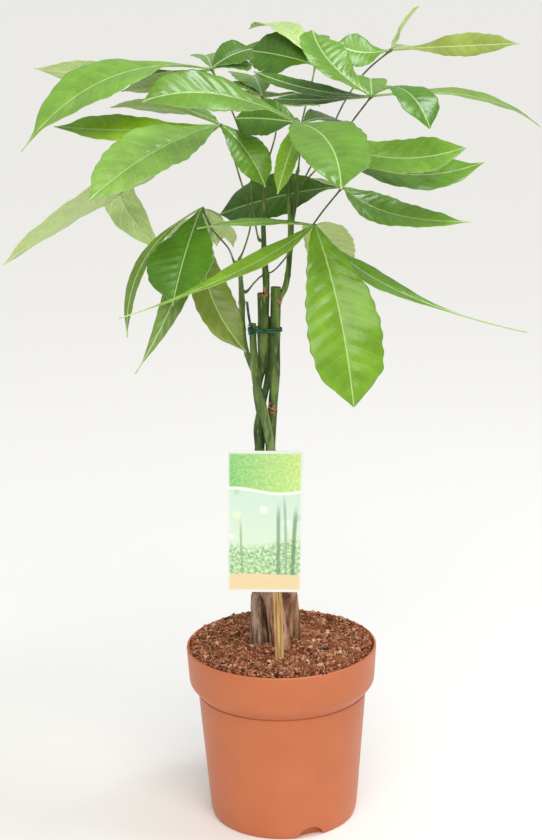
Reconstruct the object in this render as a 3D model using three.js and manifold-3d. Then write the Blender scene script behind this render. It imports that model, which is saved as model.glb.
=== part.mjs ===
// A potted money tree: four braided stems in a nursery pot, with palmate leaves on green shoots.
// Units are millimetres, +Z is up, and the viewer stands at -Y. The origin is the centre of the
// pot's flat underside. Every mesh is one closed solid, and neighbours keep a gap of CLEARANCE.
import * as THREE from 'three';
import { mergeVertices } from 'three/addons/utils/BufferGeometryUtils.js';
import Module from 'manifold-3d';

const wasm = await Module();
wasm.setup();

// ---------------------------------------------------------------- driving dimensions

const CLEARANCE = 0.3;

const POT = {
  height: 160,
  rimRadius: 85,
  bandBottomRadius: 83,
  bandBottomZ: 127,
  wallTopRadius: 75.5,
  wallTopZ: 118,
  wallBottomRadius: 66.5,
  baseRadius: 64.5,
  lipRound: 1.6,
  stepRound: 0.8,
  baseRound: 1.6,
  wall: 2.2,
  floor: 2.5,
  footInnerRadius: 53,
  footHeight: 13,
  footSlope: 2,
  segments: 48,
};

const DRAIN = { count: 3, firstAngle: -69, width: 26, height: 10, depth: 8, archFullness: 0.75 };

const SOIL = {
  edgeZ: 158.5,
  domeRise: 4,
  lumpHeight: 1.5,
  lumpLength: 33,
  edgeSlack: 0.9,
  topRings: 6,
  segments: 32,
  facetSlack: 0.2,
};

const STEM = { sides: 8, rings: 19, buriedEndZ: 120, windingReach: 1.58 };
const SHOOT = { sides: 7, ringsPerPoint: 2 };

const STICK = { width: 7.5, thickness: 2.8, bottomZ: 118, topZ: 300, x: -1, y: -43.9, lean: 0.9 };

const CARD = {
  topWidth: 65.5, bottomWidth: 62.5, height: 126, thickness: 0.8, corner: 5,
  x: -14, y: -46, bottomZ: 224.7, lean: 1.4,
};

const TIE = {
  wireRadius: 0.85, twistRadius: 1.3, sides: 6, lowerZ: 445.4, upperZ: 447.4, tailTopZ: 473,
  loopSteps: 20, facetSlack: 0.25,
};

const LEAF = {
  bladeThickness: 0.8,
  stationLength: 18,
  fewestStations: 5,
  mostStations: 8,
  baseHalfWidth: 1.1,
  tipHalfWidth: 0.7,
  baseOffset: 1.2,
  usualForm: { pull: 0, taper: 1.4, widest: 0.62 },
  pointShare: 0.16,
  foldDegrees: 14,
  foldEase: 0.45,
  turnAtBase: 0.3,
  turnDoneAt: 0.45,
  waveHeight: 0.035,
  waveTurns: 9,
  waveShift: 1.7,
  petioleRadius: 1.15,
  petioleSides: 5,
  knobRadius: 1.8,
  hubRadius: 2.6,
  narrow: 35,
  smallestFacet: 0.04,
};

const COLOURS = {
  pot: '#d07c55', soil: '#7a4630', olive: '#66712f', wood: '#cfa868', card: '#eef5dc',
  wire: '#1f6b4a', leafBright: '#7db33a', leafMid: '#5e9322', leafPale: '#9cc06a',
};

// ---------------------------------------------------------------- solids and meshes

/** A closed solid from corner points and triangles, turned to face outwards. */
function solidFrom(positions, triangles) {
  let volume = 0;
  for (let i = 0; i < triangles.length; i += 3) {
    const [a, b, c] = [0, 1, 2].map((k) => new THREE.Vector3().fromArray(positions, 3 * triangles[i + k]));
    volume += a.dot(b.cross(c));
  }
  const facing = volume > 0 ? triangles : [...triangles].reverse();
  const mesh = new wasm.Mesh({
    numProp: 3,
    vertProperties: Float32Array.from(positions),
    triVerts: Uint32Array.from(facing),
  });
  return new wasm.Manifold(mesh);
}

/** The solid inside a closed three.js geometry. */
function solidOf(geometry) {
  const plain = new THREE.BufferGeometry();
  plain.setAttribute('position', geometry.attributes.position);
  if (geometry.index) plain.setIndex(geometry.index);
  const welded = mergeVertices(plain, 1e-4);
  const triangles = [];
  const index = welded.index.array;
  for (let i = 0; i < index.length; i += 3) {
    const [a, b, c] = [index[i], index[i + 1], index[i + 2]];
    if (a !== b && b !== c && c !== a) triangles.push(a, b, c);
  }
  return solidFrom([...welded.attributes.position.array], triangles);
}

function materialOf(colour, roughness) {
  return new THREE.MeshStandardMaterial({ color: colour, roughness, metalness: 0 });
}

function meshOf(name, solid, material) {
  const { numProp, vertProperties, triVerts } = solid.getMesh();
  const geometry = new THREE.BufferGeometry();
  const positions = new Float32Array((vertProperties.length / numProp) * 3);
  for (let i = 0; i < positions.length / 3; i += 1) {
    positions.set(vertProperties.subarray(i * numProp, i * numProp + 3), 3 * i);
  }
  geometry.setAttribute('position', new THREE.BufferAttribute(positions, 3));
  geometry.setIndex([...triVerts]);
  geometry.computeVertexNormals();
  const mesh = new THREE.Mesh(geometry, material);
  mesh.name = name;
  return mesh;
}

/** Value at x on a broken line of [x, value] pairs. */
function along(line, x) {
  if (x <= line[0][0]) return line[0][1];
  for (let i = 1; i < line.length; i += 1) {
    const [x0, y0] = line[i - 1];
    const [x1, y1] = line[i];
    if (x <= x1) return y0 + ((y1 - y0) * (x - x0)) / (x1 - x0);
  }
  return line[line.length - 1][1];
}

/** A round tube along points, closed by flat ends or into a ring; radiusAt(point) may vary. */
function tube(points, radiusAt, sides, rings, closed = false) {
  const curve = new THREE.CatmullRomCurve3(points, closed, 'centripetal');
  const frames = curve.computeFrenetFrames(rings, closed);
  const positions = [];
  const triangles = [];
  const ringCount = closed ? rings : rings + 1;
  for (let i = 0; i < ringCount; i += 1) {
    const centre = curve.getPointAt(i / rings);
    const radius = radiusAt(centre);
    for (let k = 0; k < sides; k += 1) {
      const angle = (2 * Math.PI * k) / sides;
      const corner = centre.clone()
        .addScaledVector(frames.normals[i], radius * Math.cos(angle))
        .addScaledVector(frames.binormals[i], radius * Math.sin(angle));
      positions.push(...corner);
    }
  }
  for (let i = 0; i < rings; i += 1) {
    for (let k = 0; k < sides; k += 1) {
      const next = (k + 1) % sides;
      const a = i * sides + k;
      const b = i * sides + next;
      const c = ((i + 1) % ringCount) * sides + next;
      const d = ((i + 1) % ringCount) * sides + k;
      triangles.push(a, b, c, a, c, d);
    }
  }
  if (!closed) {
    for (let k = 1; k < sides - 1; k += 1) {
      const last = rings * sides;
      triangles.push(0, k + 1, k, last, last + k, last + k + 1);
    }
  }
  return solidFrom(positions, triangles);
}

function ball(centre, radius) {
  const geometry = new THREE.IcosahedronGeometry(radius, 0);
  return solidOf(geometry).translate(centre.x, centre.y, centre.z);
}

const vector = ([x, y, z]) => new THREE.Vector3(x, y, z);

// ---------------------------------------------------------------- pot

function latheSolid(profile, segments) {
  const points = profile.map(([radius, z]) => new THREE.Vector2(radius, z));
  const geometry = new THREE.LatheGeometry(points, segments);
  geometry.rotateX(Math.PI / 2);
  return solidOf(geometry);
}

/** Inside of the pot, from its floor's centre up to the mouth, drawn in by a gap. */
function potInside(gap) {
  const inset = POT.wall + gap;
  return [
    [0, POT.floor + gap],
    [POT.footInnerRadius - gap, POT.floor + gap],
    [POT.footInnerRadius + POT.footSlope - gap, POT.footHeight + gap],
    [POT.wallBottomRadius - inset, POT.footHeight + POT.footSlope / 2 + gap],
    [POT.wallTopRadius - inset, POT.wallTopZ + gap],
    [POT.bandBottomRadius - inset, POT.bandBottomZ + gap],
  ];
}

function potSolid() {
  const { height, rimRadius, baseRadius, lipRound, stepRound, baseRound } = POT;
  const outside = [
    [rimRadius - lipRound, height],
    [rimRadius - lipRound / 4, height - lipRound / 3],
    [rimRadius, height - lipRound],
    [POT.bandBottomRadius, POT.bandBottomZ + stepRound],
    [POT.bandBottomRadius - stepRound, POT.bandBottomZ],
    [POT.wallTopRadius, POT.wallTopZ],
    [POT.wallBottomRadius, 4 * baseRound],
    [baseRadius + 0.8 * baseRound, baseRound],
    [baseRadius, 0],
    [0, 0],
  ];
  const inside = [
    ...potInside(0),
    [rimRadius - POT.wall - lipRound / 4, height - lipRound / 2],
    [rimRadius - POT.wall, height],
  ];
  const shell = latheSolid([...inside, ...outside], POT.segments);
  let notches = null;
  for (let i = 0; i < DRAIN.count; i += 1) {
    const notch = drainNotch().rotate([0, 0, DRAIN.firstAngle + (360 * i) / DRAIN.count]);
    notches = notches ? notches.add(notch) : notch;
  }
  return shell.subtract(notches);
}

/** An arched doorway in the foot of the pot, looking along +X. */
function drainNotch() {
  const arch = new THREE.Shape();
  const half = DRAIN.width / 2;
  arch.moveTo(-half, -1);
  arch.lineTo(half, -1);
  arch.quadraticCurveTo(half * DRAIN.archFullness, DRAIN.height, 0, DRAIN.height);
  arch.quadraticCurveTo(-half * DRAIN.archFullness, DRAIN.height, -half, -1);
  const geometry = new THREE.ExtrudeGeometry(arch, {
    depth: 2 * DRAIN.depth, bevelEnabled: false, curveSegments: 5,
  });
  geometry.rotateX(Math.PI / 2);
  geometry.rotateZ(Math.PI / 2);
  geometry.translate(POT.wallBottomRadius - DRAIN.depth, 0, 0);
  return solidOf(geometry);
}

// ---------------------------------------------------------------- stems and shoots

const STRAND_TAPER = [[110, 9.8], [160, 9.4], [200, 8.2], [260, 6.4], [341, 4.2], [400, 4.1]];

/** Middle of the braid at a height, where it leans a little as it rises. */
const braidMiddle = (z) => along([[120, -5], [200, -5.5], [341, -11.3]], z);

/** Lower part of a strand, wound with the other three into a rope from the soil up. */
function woundPoints(startDegrees) {
  const points = [];
  for (const z of [110, 135, 160, 180, 200, 224, 248, 272, 296, 318, 341]) {
    const turn = along([[110, 270], [200, 225], [341, 0]], z);
    const angle = THREE.MathUtils.degToRad(startDegrees + turn);
    const reach = STEM.windingReach * along(STRAND_TAPER, z);
    points.push([braidMiddle(z) + reach * Math.cos(angle), reach * Math.sin(angle), z]);
  }
  return points;
}

const STRANDS = {
  stem_1: {
    start: -45,
    top: [[-9.2, -7.4, 361], [-13, -8.8, 380], [-16.2, -6.9, 394], [-18.6, -4, 411], [-19.9, -2.4, 437],
      [-19.8, -2.2, 452]],
    taper: [...STRAND_TAPER.slice(0, 5), [400, 4], [411, 3.7], [437, 3.1], [452, 3]],
  },
  stem_2: {
    start: 135,
    top: [[-13.6, 9.6, 362], [-16.5, 8.3, 384], [-17.2, 6.4, 394], [-15.5, 4.8, 403], [-13.2, 3.2, 412],
      [-11.8, 1.5, 421], [-11.3, -1.4, 437], [-10.2, -1.8, 478]],
    taper: [...STRAND_TAPER.slice(0, 5), [384, 4.1], [403, 4.2], [425, 4.8], [440, 5], [478, 5.3]],
  },
  stem_3: {
    start: 45,
    top: [[-5.2, 3.4, 360], [-3.8, -1.4, 381], [-1.8, -3.8, 402], [-1, -1.8, 437], [0.4, -1, 483]],
    taper: [...STRAND_TAPER.slice(0, 5), [384, 4.2], [437, 4.6], [483, 4.6]],
  },
  stem_4: {
    start: -135,
    top: [[-17.2, -0.6, 361], [-12.6, 0.3, 382], [-9.4, 2.3, 394], [-6.6, 7, 403], [-5.4, 9.4, 412],
      [-5.6, 9.4, 437], [-5.6, 9, 455]],
    taper: [...STRAND_TAPER.slice(0, 5), [382, 3.2], [394, 3.1], [403, 4], [455, 4.2]],
  },
};

/** Green shoots, each fused to the strand that it grew from. */
const SHOOTS = {
  stem_1: [
    {
      path: [[-18.6, -3.5, 407], [-24, -2.4, 421], [-27.4, -1.5, 436], [-28.6, -1, 452], [-28.8, -0.6, 465],
        [-29, 0, 478], [-29.6, 0, 493], [-30.5, 0, 505]],
      taper: [[407, 2.4], [436, 2.3], [455, 2.3], [470, 2.8], [490, 1.9], [505, 1.7]],
    },
  ],
  stem_2: [
    {
      path: [[-8.6, -1, 470], [-7.8, -0.5, 484], [-8.4, 0, 500], [-9.1, 0, 520], [-9.3, 0, 542],
        [-8.6, 0, 560], [-8.1, 0, 577]],
      taper: [[470, 2.9], [492, 2.9], [512, 2.2], [577, 1.8]],
    },
  ],
  stem_3: [
    {
      path: [[0.6, -0.8, 462], [3.4, -0.5, 473], [8.2, 0, 482], [10.8, 0, 494], [12.3, 0, 508],
        [13.7, 0, 526], [14.2, 0, 544]],
      taper: [[462, 2.6], [480, 2.7], [500, 2.3], [544, 2.7]],
    },
    {
      path: [[14.2, 0, 536], [12.8, 0, 550], [12.4, 0.4, 564], [12.8, 0.8, 579]],
      taper: [[536, 2], [579, 1.8]],
    },
    {
      path: [[14.2, 0, 536], [17.2, 0, 550], [19.2, -0.2, 564], [19.4, -0.4, 579]],
      taper: [[536, 2], [579, 1.8]],
    },
  ],
};

/** One strand as a tube, cut flat where it ends in the soil; a margin makes the hole for it. */
function strandTube(name, margin = 0) {
  const { start, top, taper } = STRANDS[name];
  const points = [...woundPoints(start), ...top].map(vector);
  const whole = tube(points, (point) => along(taper, point.z) + margin, STEM.sides, STEM.rings);
  return whole.trimByPlane([0, 0, 1], STEM.buriedEndZ - margin);
}

function stemSolid(name) {
  let solid = strandTube(name);
  for (const { path, taper } of SHOOTS[name] ?? []) {
    const radiusAt = (point) => along(taper, point.z);
    solid = solid.add(tube(path.map(vector), radiusAt, SHOOT.sides, SHOOT.ringsPerPoint * path.length));
  }
  return solid;
}

// ---------------------------------------------------------------- soil

/** Height of the lumpy coir above its edge: a low dome with waves of a few millimetres. */
function soilLift(x, y) {
  const edge = POT.bandBottomRadius;
  const radius = Math.hypot(x, y) / edge;
  const [across, deep] = [x, y].map((place) => (2 * Math.PI * place) / SOIL.lumpLength);
  const lumps = Math.sin(across + 0.8) * Math.cos(0.84 * deep)
    + 0.7 * Math.sin(1.95 * across - 1.5 * deep + 2);
  return SOIL.domeRise * (1 - radius ** 2) + SOIL.lumpHeight * lumps * (1 - radius ** 6);
}

function soilSolid() {
  const inside = potInside(CLEARANCE + SOIL.facetSlack);
  const edge = [POT.rimRadius - POT.wall - CLEARANCE - SOIL.edgeSlack, SOIL.edgeZ];
  const top = [];
  for (let i = 1; i <= SOIL.topRings; i += 1) {
    top.push([edge[0] * (1 - i / SOIL.topRings), SOIL.edgeZ]);
  }
  const points = [...inside, edge, ...top].map(([radius, z]) => new THREE.Vector2(radius, z));
  const geometry = new THREE.LatheGeometry(points, SOIL.segments);
  geometry.rotateX(Math.PI / 2);
  const position = geometry.attributes.position;
  for (let i = 0; i < position.count; i += 1) {
    const [x, y, z] = [position.getX(i), position.getY(i), position.getZ(i)];
    if (z > SOIL.edgeZ - 1 && Math.hypot(x, y) < edge[0] - 1) position.setZ(i, z + soilLift(x, y));
  }
  let solid = solidOf(geometry);
  for (const name of Object.keys(STRANDS)) solid = solid.subtract(strandTube(name, CLEARANCE));
  return solid.subtract(stickSolid(CLEARANCE));
}

// ---------------------------------------------------------------- card, stick and tie

function stickSolid(margin = 0) {
  const length = STICK.topZ - STICK.bottomZ;
  const geometry = new THREE.BoxGeometry(
    STICK.width + 2 * margin, STICK.thickness + 2 * margin, length + 2 * margin);
  geometry.translate(0, 0, length / 2);
  geometry.rotateY(THREE.MathUtils.degToRad(-STICK.lean));
  geometry.translate(STICK.x, STICK.y, STICK.bottomZ);
  return solidOf(geometry);
}

function cardSolid() {
  const { topWidth, bottomWidth, height, corner } = CARD;
  const [top, bottom] = [topWidth / 2, bottomWidth / 2];
  const outline = new THREE.Shape();
  outline.moveTo(-bottom + corner, 0);
  outline.lineTo(bottom - corner, 0);
  outline.quadraticCurveTo(bottom, 0, bottom, corner);
  outline.lineTo(top, height - corner);
  outline.quadraticCurveTo(top, height, top - corner, height);
  outline.lineTo(-top + corner, height);
  outline.quadraticCurveTo(-top, height, -top, height - corner);
  outline.lineTo(-bottom, corner);
  outline.quadraticCurveTo(-bottom, 0, -bottom + corner, 0);
  const geometry = new THREE.ExtrudeGeometry(outline, {
    depth: CARD.thickness, bevelEnabled: false, curveSegments: 5,
  });
  geometry.rotateX(Math.PI / 2);
  geometry.translate(0, CARD.thickness / 2, 0);
  geometry.rotateY(THREE.MathUtils.degToRad(CARD.lean));
  geometry.translate(CARD.x, CARD.y, CARD.bottomZ);
  return solidOf(geometry);
}

/** Points of a wire drawn tight round the strands at one height. */
function loopRound(z) {
  const away = TIE.wireRadius + CLEARANCE + TIE.facetSlack;
  const centres = Object.values(STRANDS).map(({ top, taper }) => {
    const curve = new THREE.CatmullRomCurve3(top.map(vector), false, 'centripetal');
    const samples = curve.getSpacedPoints(120);
    const nearest = samples.reduce((a, b) => (Math.abs(a.z - z) < Math.abs(b.z - z) ? a : b));
    return { x: nearest.x, y: nearest.y, radius: along(taper, z) };
  });
  const points = [];
  for (let step = 0; step < TIE.loopSteps; step += 1) {
    const angle = (2 * Math.PI * step) / TIE.loopSteps;
    const [dx, dy] = [Math.cos(angle), Math.sin(angle)];
    const reach = ({ x, y, radius }) => x * dx + y * dy + radius;
    const outer = centres.reduce((a, b) => (reach(a) > reach(b) ? a : b));
    const distance = outer.radius + away;
    points.push(new THREE.Vector3(outer.x + distance * dx, outer.y + distance * dy, z));
  }
  return points;
}

function tieSolid() {
  const wire = () => TIE.wireRadius;
  let solid = tube(loopRound(TIE.lowerZ), wire, TIE.sides, TIE.loopSteps, true);
  solid = solid.add(tube(loopRound(TIE.upperZ), wire, TIE.sides, TIE.loopSteps, true));
  const twist = [[-20.6, -7, TIE.lowerZ], [-21.6, -8.2, 451], [-23.6, -8.8, 462], [-24.6, -9, TIE.tailTopZ]];
  return solid.add(tube(twist.map(vector), () => TIE.twistRadius, TIE.sides, 2 * twist.length));
}

// ---------------------------------------------------------------- leaves

// A leaf is a petiole, a list of points from its knob on the shoot to the hub, and leaflets
// that radiate from the hub. A leaflet is [tip from hub, width, arch, roll, sway]: how far its
// middle rises above the straight line, how many degrees its upper face turns to its right, and
// how far its middle swings to its right. A form may follow for what differs from the usual one:
// the share of its length by which the bend moves towards the tip (pull), how slender its base is
// (taper), and the share of its length at which it is widest.
const LEAVES = [
  {
    name: 'leaf_upper_left', colour: 'leafBright',
    petiole: [[-12.75, 1.4, 523], [-16.3, 2, 538], [-18.9, -1, 560], [-19, -6, 582], [-25, -9, 607],
      [-31, -7, 626], [-50, 10, 666]],
    leaflets: [
      [[-152, -70, -59], 54, 26, -22, 0, { taper: 1.8, widest: 0.55 }],
      [[-151, 22, 2], 30, -6, 45, 0],
      [[-77, 12, -18], 30, 6, 30, 0],
      [[-10, 98, 6], 28, 4, 0, 0],
      [[34, 30, 14], 32, 3, 30, 0],
      [[34, 22, 2], 26, 4, 30, 0],
    ],
  },
  {
    name: 'leaf_left', colour: 'leafBright',
    petiole: [[-30.1, 0.8, 506.85], [-26, 1, 516], [-20, -2, 538], [-22.7, -4, 557], [-27.4, -6, 574],
      [-37, -11, 608], [-43, -15, 622]],
    leaflets: [
      [[-137, -5, 2], 36, -2, -30, 0, { taper: 1.2 }],
      [[-102, -90, -50], 58, 8, -24, 0, { taper: 0.85, widest: 0.54 }],
      [[-88, -36, -52], 36, 6, -6, 0],
      [[-182, -25, -110], 48, 4, 32, 0, { taper: 1, widest: 0.56 }],
      [[-54, 14, -105], 31, 63, 50, 0, { pull: 0.22, widest: 0.76 }],
      [[36, -20, -50], 34, 5, 30, 0, { taper: 1, widest: 0.55 }],
      [[-92, 20, 14], 26, 6, 28, 0],
      [[-62, 78, 6], 40, 6, 0, 0],
    ],
  },
  {
    name: 'leaf_front', colour: 'leafBright',
    petiole: [[20.4, -1.4, 580.9], [21.5, -8, 590], [22.4, -22, 602], [23, -40, 623]],
    leaflets: [
      [[-124, -58, 24], 44, 14, -40, 0, { pull: 0.1, taper: 1.1 }],
      [[-54, 30, 3], 36, 2, -55, 0, { taper: 1 }],
      [[-20, -36, -52], 21, 7, 0, -3, { taper: 0.8, widest: 0.5 }],
      [[28, -112, -40], 61, 9, 4, -7, { taper: 0.6, widest: 0.52 }],
      [[131, -32, -18], 40, -17, 40, 0, { taper: 1.3, widest: 0.68 }],
      [[151, 8, -34], 46, -24, 30, 0, { taper: 1.1 }],
      [[36, 60, -4], 30, 4, 20, 0],
      [[-30, 88, -6], 32, 2, 0, 0],
    ],
  },
  {
    name: 'leaf_upper_right', colour: 'leafBright',
    petiole: [[22.8, 0.8, 570], [39, 4, 585], [63.7, 0, 618], [81, -30, 644]],
    leaflets: [
      [[-47, 42, 52], 42, -1, -10, -12, { taper: 1 }],
      [[42, -62, -22], 38, 18, 0, 0, { taper: 1.2, widest: 0.68 }],
      [[141, 20, -29], 24, 14, 14, 0, { pull: 0.14, taper: 0.8, widest: 0.5 }],
      [[2, 60, 10], 28, 4, 10, 0, { taper: 1 }],
      [[-80, 60, -5], 16, 0, -30, 0, { taper: 1, widest: 0.7 }],
      [[-96, 60, 18], 18, -5, -30, 0, { taper: 1 }],
    ],
  },
  {
    name: 'leaf_top_right', colour: 'leafPale',
    petiole: [[20.45, 3.4, 563], [30, 14, 580], [46, 34, 604], [62, 50, 634], [80, 58, 658],
      [103, 60, 677]],
    leaflets: [
      [[-50, -4, 6], 34, -5, -50, 0],
      [[26, 26, 36], 28, 3, -40, 0],
      [[103, -50, 5], 30, 0, 36, 0],
      [[44, 84, -6], 36, 3, 0, 0],
    ],
  },
  {
    name: 'leaf_top', colour: 'leafMid',
    petiole: [[12.6, 1.9, 580.85], [21, 16, 605], [27, 34, 627], [34, 58, 649], [38, 78, 664]],
    leaflets: [
      [[-60, 34, 12], 46, 2, -48, 0, { taper: 0.9, widest: 0.55 }],
      [[-58, 66, 31], 34, 11, -2, 0],
      [[-66, 58, 15], 28, 8, -30, 0],
      [[-8, 100, 18], 40, 8, 0, 0],
      [[40, 70, 12], 36, 6, 0, 0],
    ],
  },
  {
    name: 'leaf_right', colour: 'leafBright',
    petiole: [[18, 0.55, 524], [30, 5, 532], [42, 6, 547], [58, 0, 567]],
    leaflets: [
      [[104, -32, -27], 36, -11, 34, 0, { pull: -0.18, taper: 0.8, widest: 0.42 }],
      [[-106, 56, -29], 44, 4, -60, 0, { taper: 1.1 }],
      [[20, 100, 10], 38, 6, 0, 0],
      [[-32, 60, -18], 30, 8, 0, 0],
    ],
  },
  {
    name: 'leaf_hanging', colour: 'leafBright',
    petiole: [[-24.9, 0.9, 479], [-18, 5, 486], [-11.3, 8, 491.5], [-2.7, 6, 495], [6, -5, 505],
      [18, -20, 523], [33, -40, 541]],
    leaflets: [
      [[-97, 4, -2], 20, 3, -10, 0, { taper: 1.2, widest: 0.45 }],
      [[-155, -98, -57], 26, -8, -10, 0, { pull: -0.14, taper: 0.9, widest: 0.32 }],
      [[28, -74, -137], 65, 12, 0, 0, { taper: 0.85, widest: 0.66 }],
      [[14, 38, -60], 46, 18, 0, 0, { taper: 0.6, widest: 0.5 }],
      [[177, 4, -94], 26, -18, 30, 0, { pull: -0.2, taper: 4, widest: 0.42 }],
    ],
  },
  {
    name: 'leaf_low_left', colour: 'leafMid',
    petiole: [[-33.8, -0.9, 504.2], [-39, -4, 517], [-52.6, -8, 535], [-60.5, -10, 553]],
    leaflets: [
      [[-24, -50, -74], 62, 4, 4, 0],
      [[-65, -18, -106], 14, 19, -26, 0, { taper: 1.6 }],
      [[10, 56, -41], 26, 6, 0, 0],
      [[25, 28, -38], 20, 4, 0, 0],
      [[35, -30, -118], 36, -20, 28, 0],
      [[-58, -35, -134], 22, -8, -50, 0, { widest: 0.45 }],
      [[-24, 76, -56], 38, 4, 0, 0],
    ],
  },
  {
    name: 'leaf_back', colour: 'leafMid',
    petiole: [[-8.2, 1.5, 578.85], [-3, 20, 592], [3, 70, 616], [-9, 112, 635]],
    leaflets: [
      [[-48, 70, 5], 42, 8, 0, 0],
      [[-14, 112, 9], 46, 10, 0, 0],
      [[34, 104, -8], 42, 2, 0, 0],
      [[-74, 34, -8], 40, 6, -8, 0],
      [[52, 64, -10], 36, 1, 8, 0],
    ],
  },
];

/** Half-width from which a blade has its full wave; where it is narrower, it lies flatter. */
const WAVY_FROM = 6;

/** Half-width of a blade along its midrib, as a share of its widest: its end draws out to a point. */
function bladeOutline(t, { taper, widest }) {
  const fall = (taper * (1 - widest)) / widest;
  const peak = widest ** taper * (1 - widest) ** fall;
  const drawnOut = Math.sqrt(Math.min(1, (1 - t) / LEAF.pointShare));
  return ((t ** taper * (1 - t) ** fall) / peak) * drawnOut;
}

/** Share of its roll that a blade has reached: part of it at the base, all of it by mid-length. */
function turnShare(t) {
  const eased = THREE.MathUtils.smoothstep(t, 0, LEAF.turnDoneAt);
  return THREE.MathUtils.lerp(LEAF.turnAtBase, 1, eased);
}

/** One arched, folded and waved blade, the same triangles on its upper and under face. */
function leafletSolid(hub, [tipFromHub, width, arch, roll, sway, ownForm], seed) {
  const form = { ...LEAF.usualForm, ...ownForm };
  const tip = vector(tipFromHub).add(hub);
  const chord = tip.clone().sub(hub).normalize();
  const right = new THREE.Vector3(chord.y, -chord.x, 0).normalize();
  const up = right.clone().cross(chord).normalize();
  const bend = hub.clone().lerp(tip, 0.5 + form.pull)
    .addScaledVector(up, 2 * arch).addScaledVector(right, 2 * sway);
  const midrib = new THREE.QuadraticBezierCurve3(hub, bend, tip);
  const fold = THREE.MathUtils.degToRad(LEAF.foldDegrees);
  const across = width > LEAF.narrow ? [-1, -0.5, 0, 0.5, 1] : [-1, 0, 1];
  const start = LEAF.baseOffset / hub.distanceTo(tip);
  const wanted = Math.round(hub.distanceTo(tip) / LEAF.stationLength);
  const stations = THREE.MathUtils.clamp(wanted, LEAF.fewestStations, LEAF.mostStations);
  const layers = [[], []];
  for (let i = 0; i <= stations; i += 1) {
    const t = THREE.MathUtils.lerp(start, 1, i / stations);
    const ahead = midrib.getTangent(t);
    const level = ahead.clone().cross(up).normalize();
    const normal = level.clone().cross(ahead).normalize();
    const turn = THREE.MathUtils.degToRad(roll) * turnShare(t);
    const side = level.clone().multiplyScalar(Math.cos(turn)).addScaledVector(normal, -Math.sin(turn));
    const face = normal.clone().multiplyScalar(Math.cos(turn)).addScaledVector(level, Math.sin(turn));
    const least = THREE.MathUtils.lerp(LEAF.baseHalfWidth, LEAF.tipHalfWidth, t);
    const half = Math.max(0.5 * width * bladeOutline(t, form), least);
    for (const u of across) {
      const rise = half * Math.abs(u) * Math.sin(fold) * (1 - LEAF.foldEase * Math.abs(u));
      const wave = LEAF.waveHeight * width * u * u * Math.sin(LEAF.waveTurns * t + seed + (u > 0 ? 2 : 0))
        * Math.min(1, half / WAVY_FROM);
      const point = midrib.getPoint(t)
        .addScaledVector(side, half * u * Math.cos(fold))
        .addScaledVector(face, rise + wave);
      for (const [layer, sign] of [[0, 0.5], [1, -0.5]]) {
        layers[layer].push(point.clone().addScaledVector(face, sign * LEAF.bladeThickness));
      }
    }
  }
  return bladeFromLayers(layers, across.length, stations);
}

/** Joins an upper and an under grid of points by their rims into one closed blade. */
function bladeFromLayers([upper, under], columns, rows) {
  const positions = [...upper, ...under].flatMap((point) => [...point]);
  const below = upper.length;
  const triangles = [];
  const quad = (a, b, c, d) => triangles.push(a, b, c, a, c, d);
  for (let i = 0; i < rows; i += 1) {
    for (let k = 0; k < columns - 1; k += 1) {
      const [a, b] = [i * columns + k, i * columns + k + 1];
      const [c, d] = [b + columns, a + columns];
      triangles.push(a, b, c, a, c, d, below + a, below + c, below + b, below + a, below + d, below + c);
    }
    const [first, last] = [i * columns, i * columns + columns - 1];
    quad(first, first + columns, below + first + columns, below + first);
    quad(last, below + last, below + last + columns, last + columns);
  }
  for (let k = 0; k < columns - 1; k += 1) {
    const end = rows * columns + k;
    quad(k, below + k, below + k + 1, k + 1);
    quad(end, end + 1, below + end + 1, below + end);
  }
  return solidFrom(positions, triangles);
}

function leafSolid({ petiole, leaflets }) {
  const points = petiole.map(vector);
  const hub = points[points.length - 1];
  let solid = tube(points, () => LEAF.petioleRadius, LEAF.petioleSides, 2 * points.length - 2);
  solid = solid.add(ball(points[0], LEAF.knobRadius)).add(ball(hub, LEAF.hubRadius));
  leaflets.forEach((leaflet, index) => {
    solid = solid.add(leafletSolid(hub, leaflet, LEAF.waveShift * index));
  });
  return solid.simplify(LEAF.smallestFacet);
}

// ---------------------------------------------------------------- assembly

const plant = new THREE.Group();
plant.name = 'potted_money_tree';
plant.add(meshOf('pot', potSolid(), materialOf(COLOURS.pot, 0.45)));
plant.add(meshOf('soil', soilSolid(), materialOf(COLOURS.soil, 0.95)));
for (const name of Object.keys(STRANDS)) {
  plant.add(meshOf(name, stemSolid(name), materialOf(COLOURS.olive, 0.6)));
}
plant.add(meshOf('wire_tie', tieSolid(), materialOf(COLOURS.wire, 0.4)));
plant.add(meshOf('label_stick', stickSolid(), materialOf(COLOURS.wood, 0.7)));
plant.add(meshOf('label_card', cardSolid(), materialOf(COLOURS.card, 0.35)));
for (const leaf of LEAVES) {
  plant.add(meshOf(leaf.name, leafSolid(leaf), materialOf(COLOURS[leaf.colour], 0.4)));
}

export default plant;
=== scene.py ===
# %% [markdown]
# A potted money tree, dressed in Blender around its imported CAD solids.
# The solids carry the part's sizes: pot, soil, four braided stems, tie, card, stick and ten leaves.
# Here each of them gets a finer mesh of the same form and a material made only of nodes.

# %% Load the frame
import math
from functools import partial

import bmesh
import bpy
import numpy as np
from mathutils import Matrix, Vector


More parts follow.
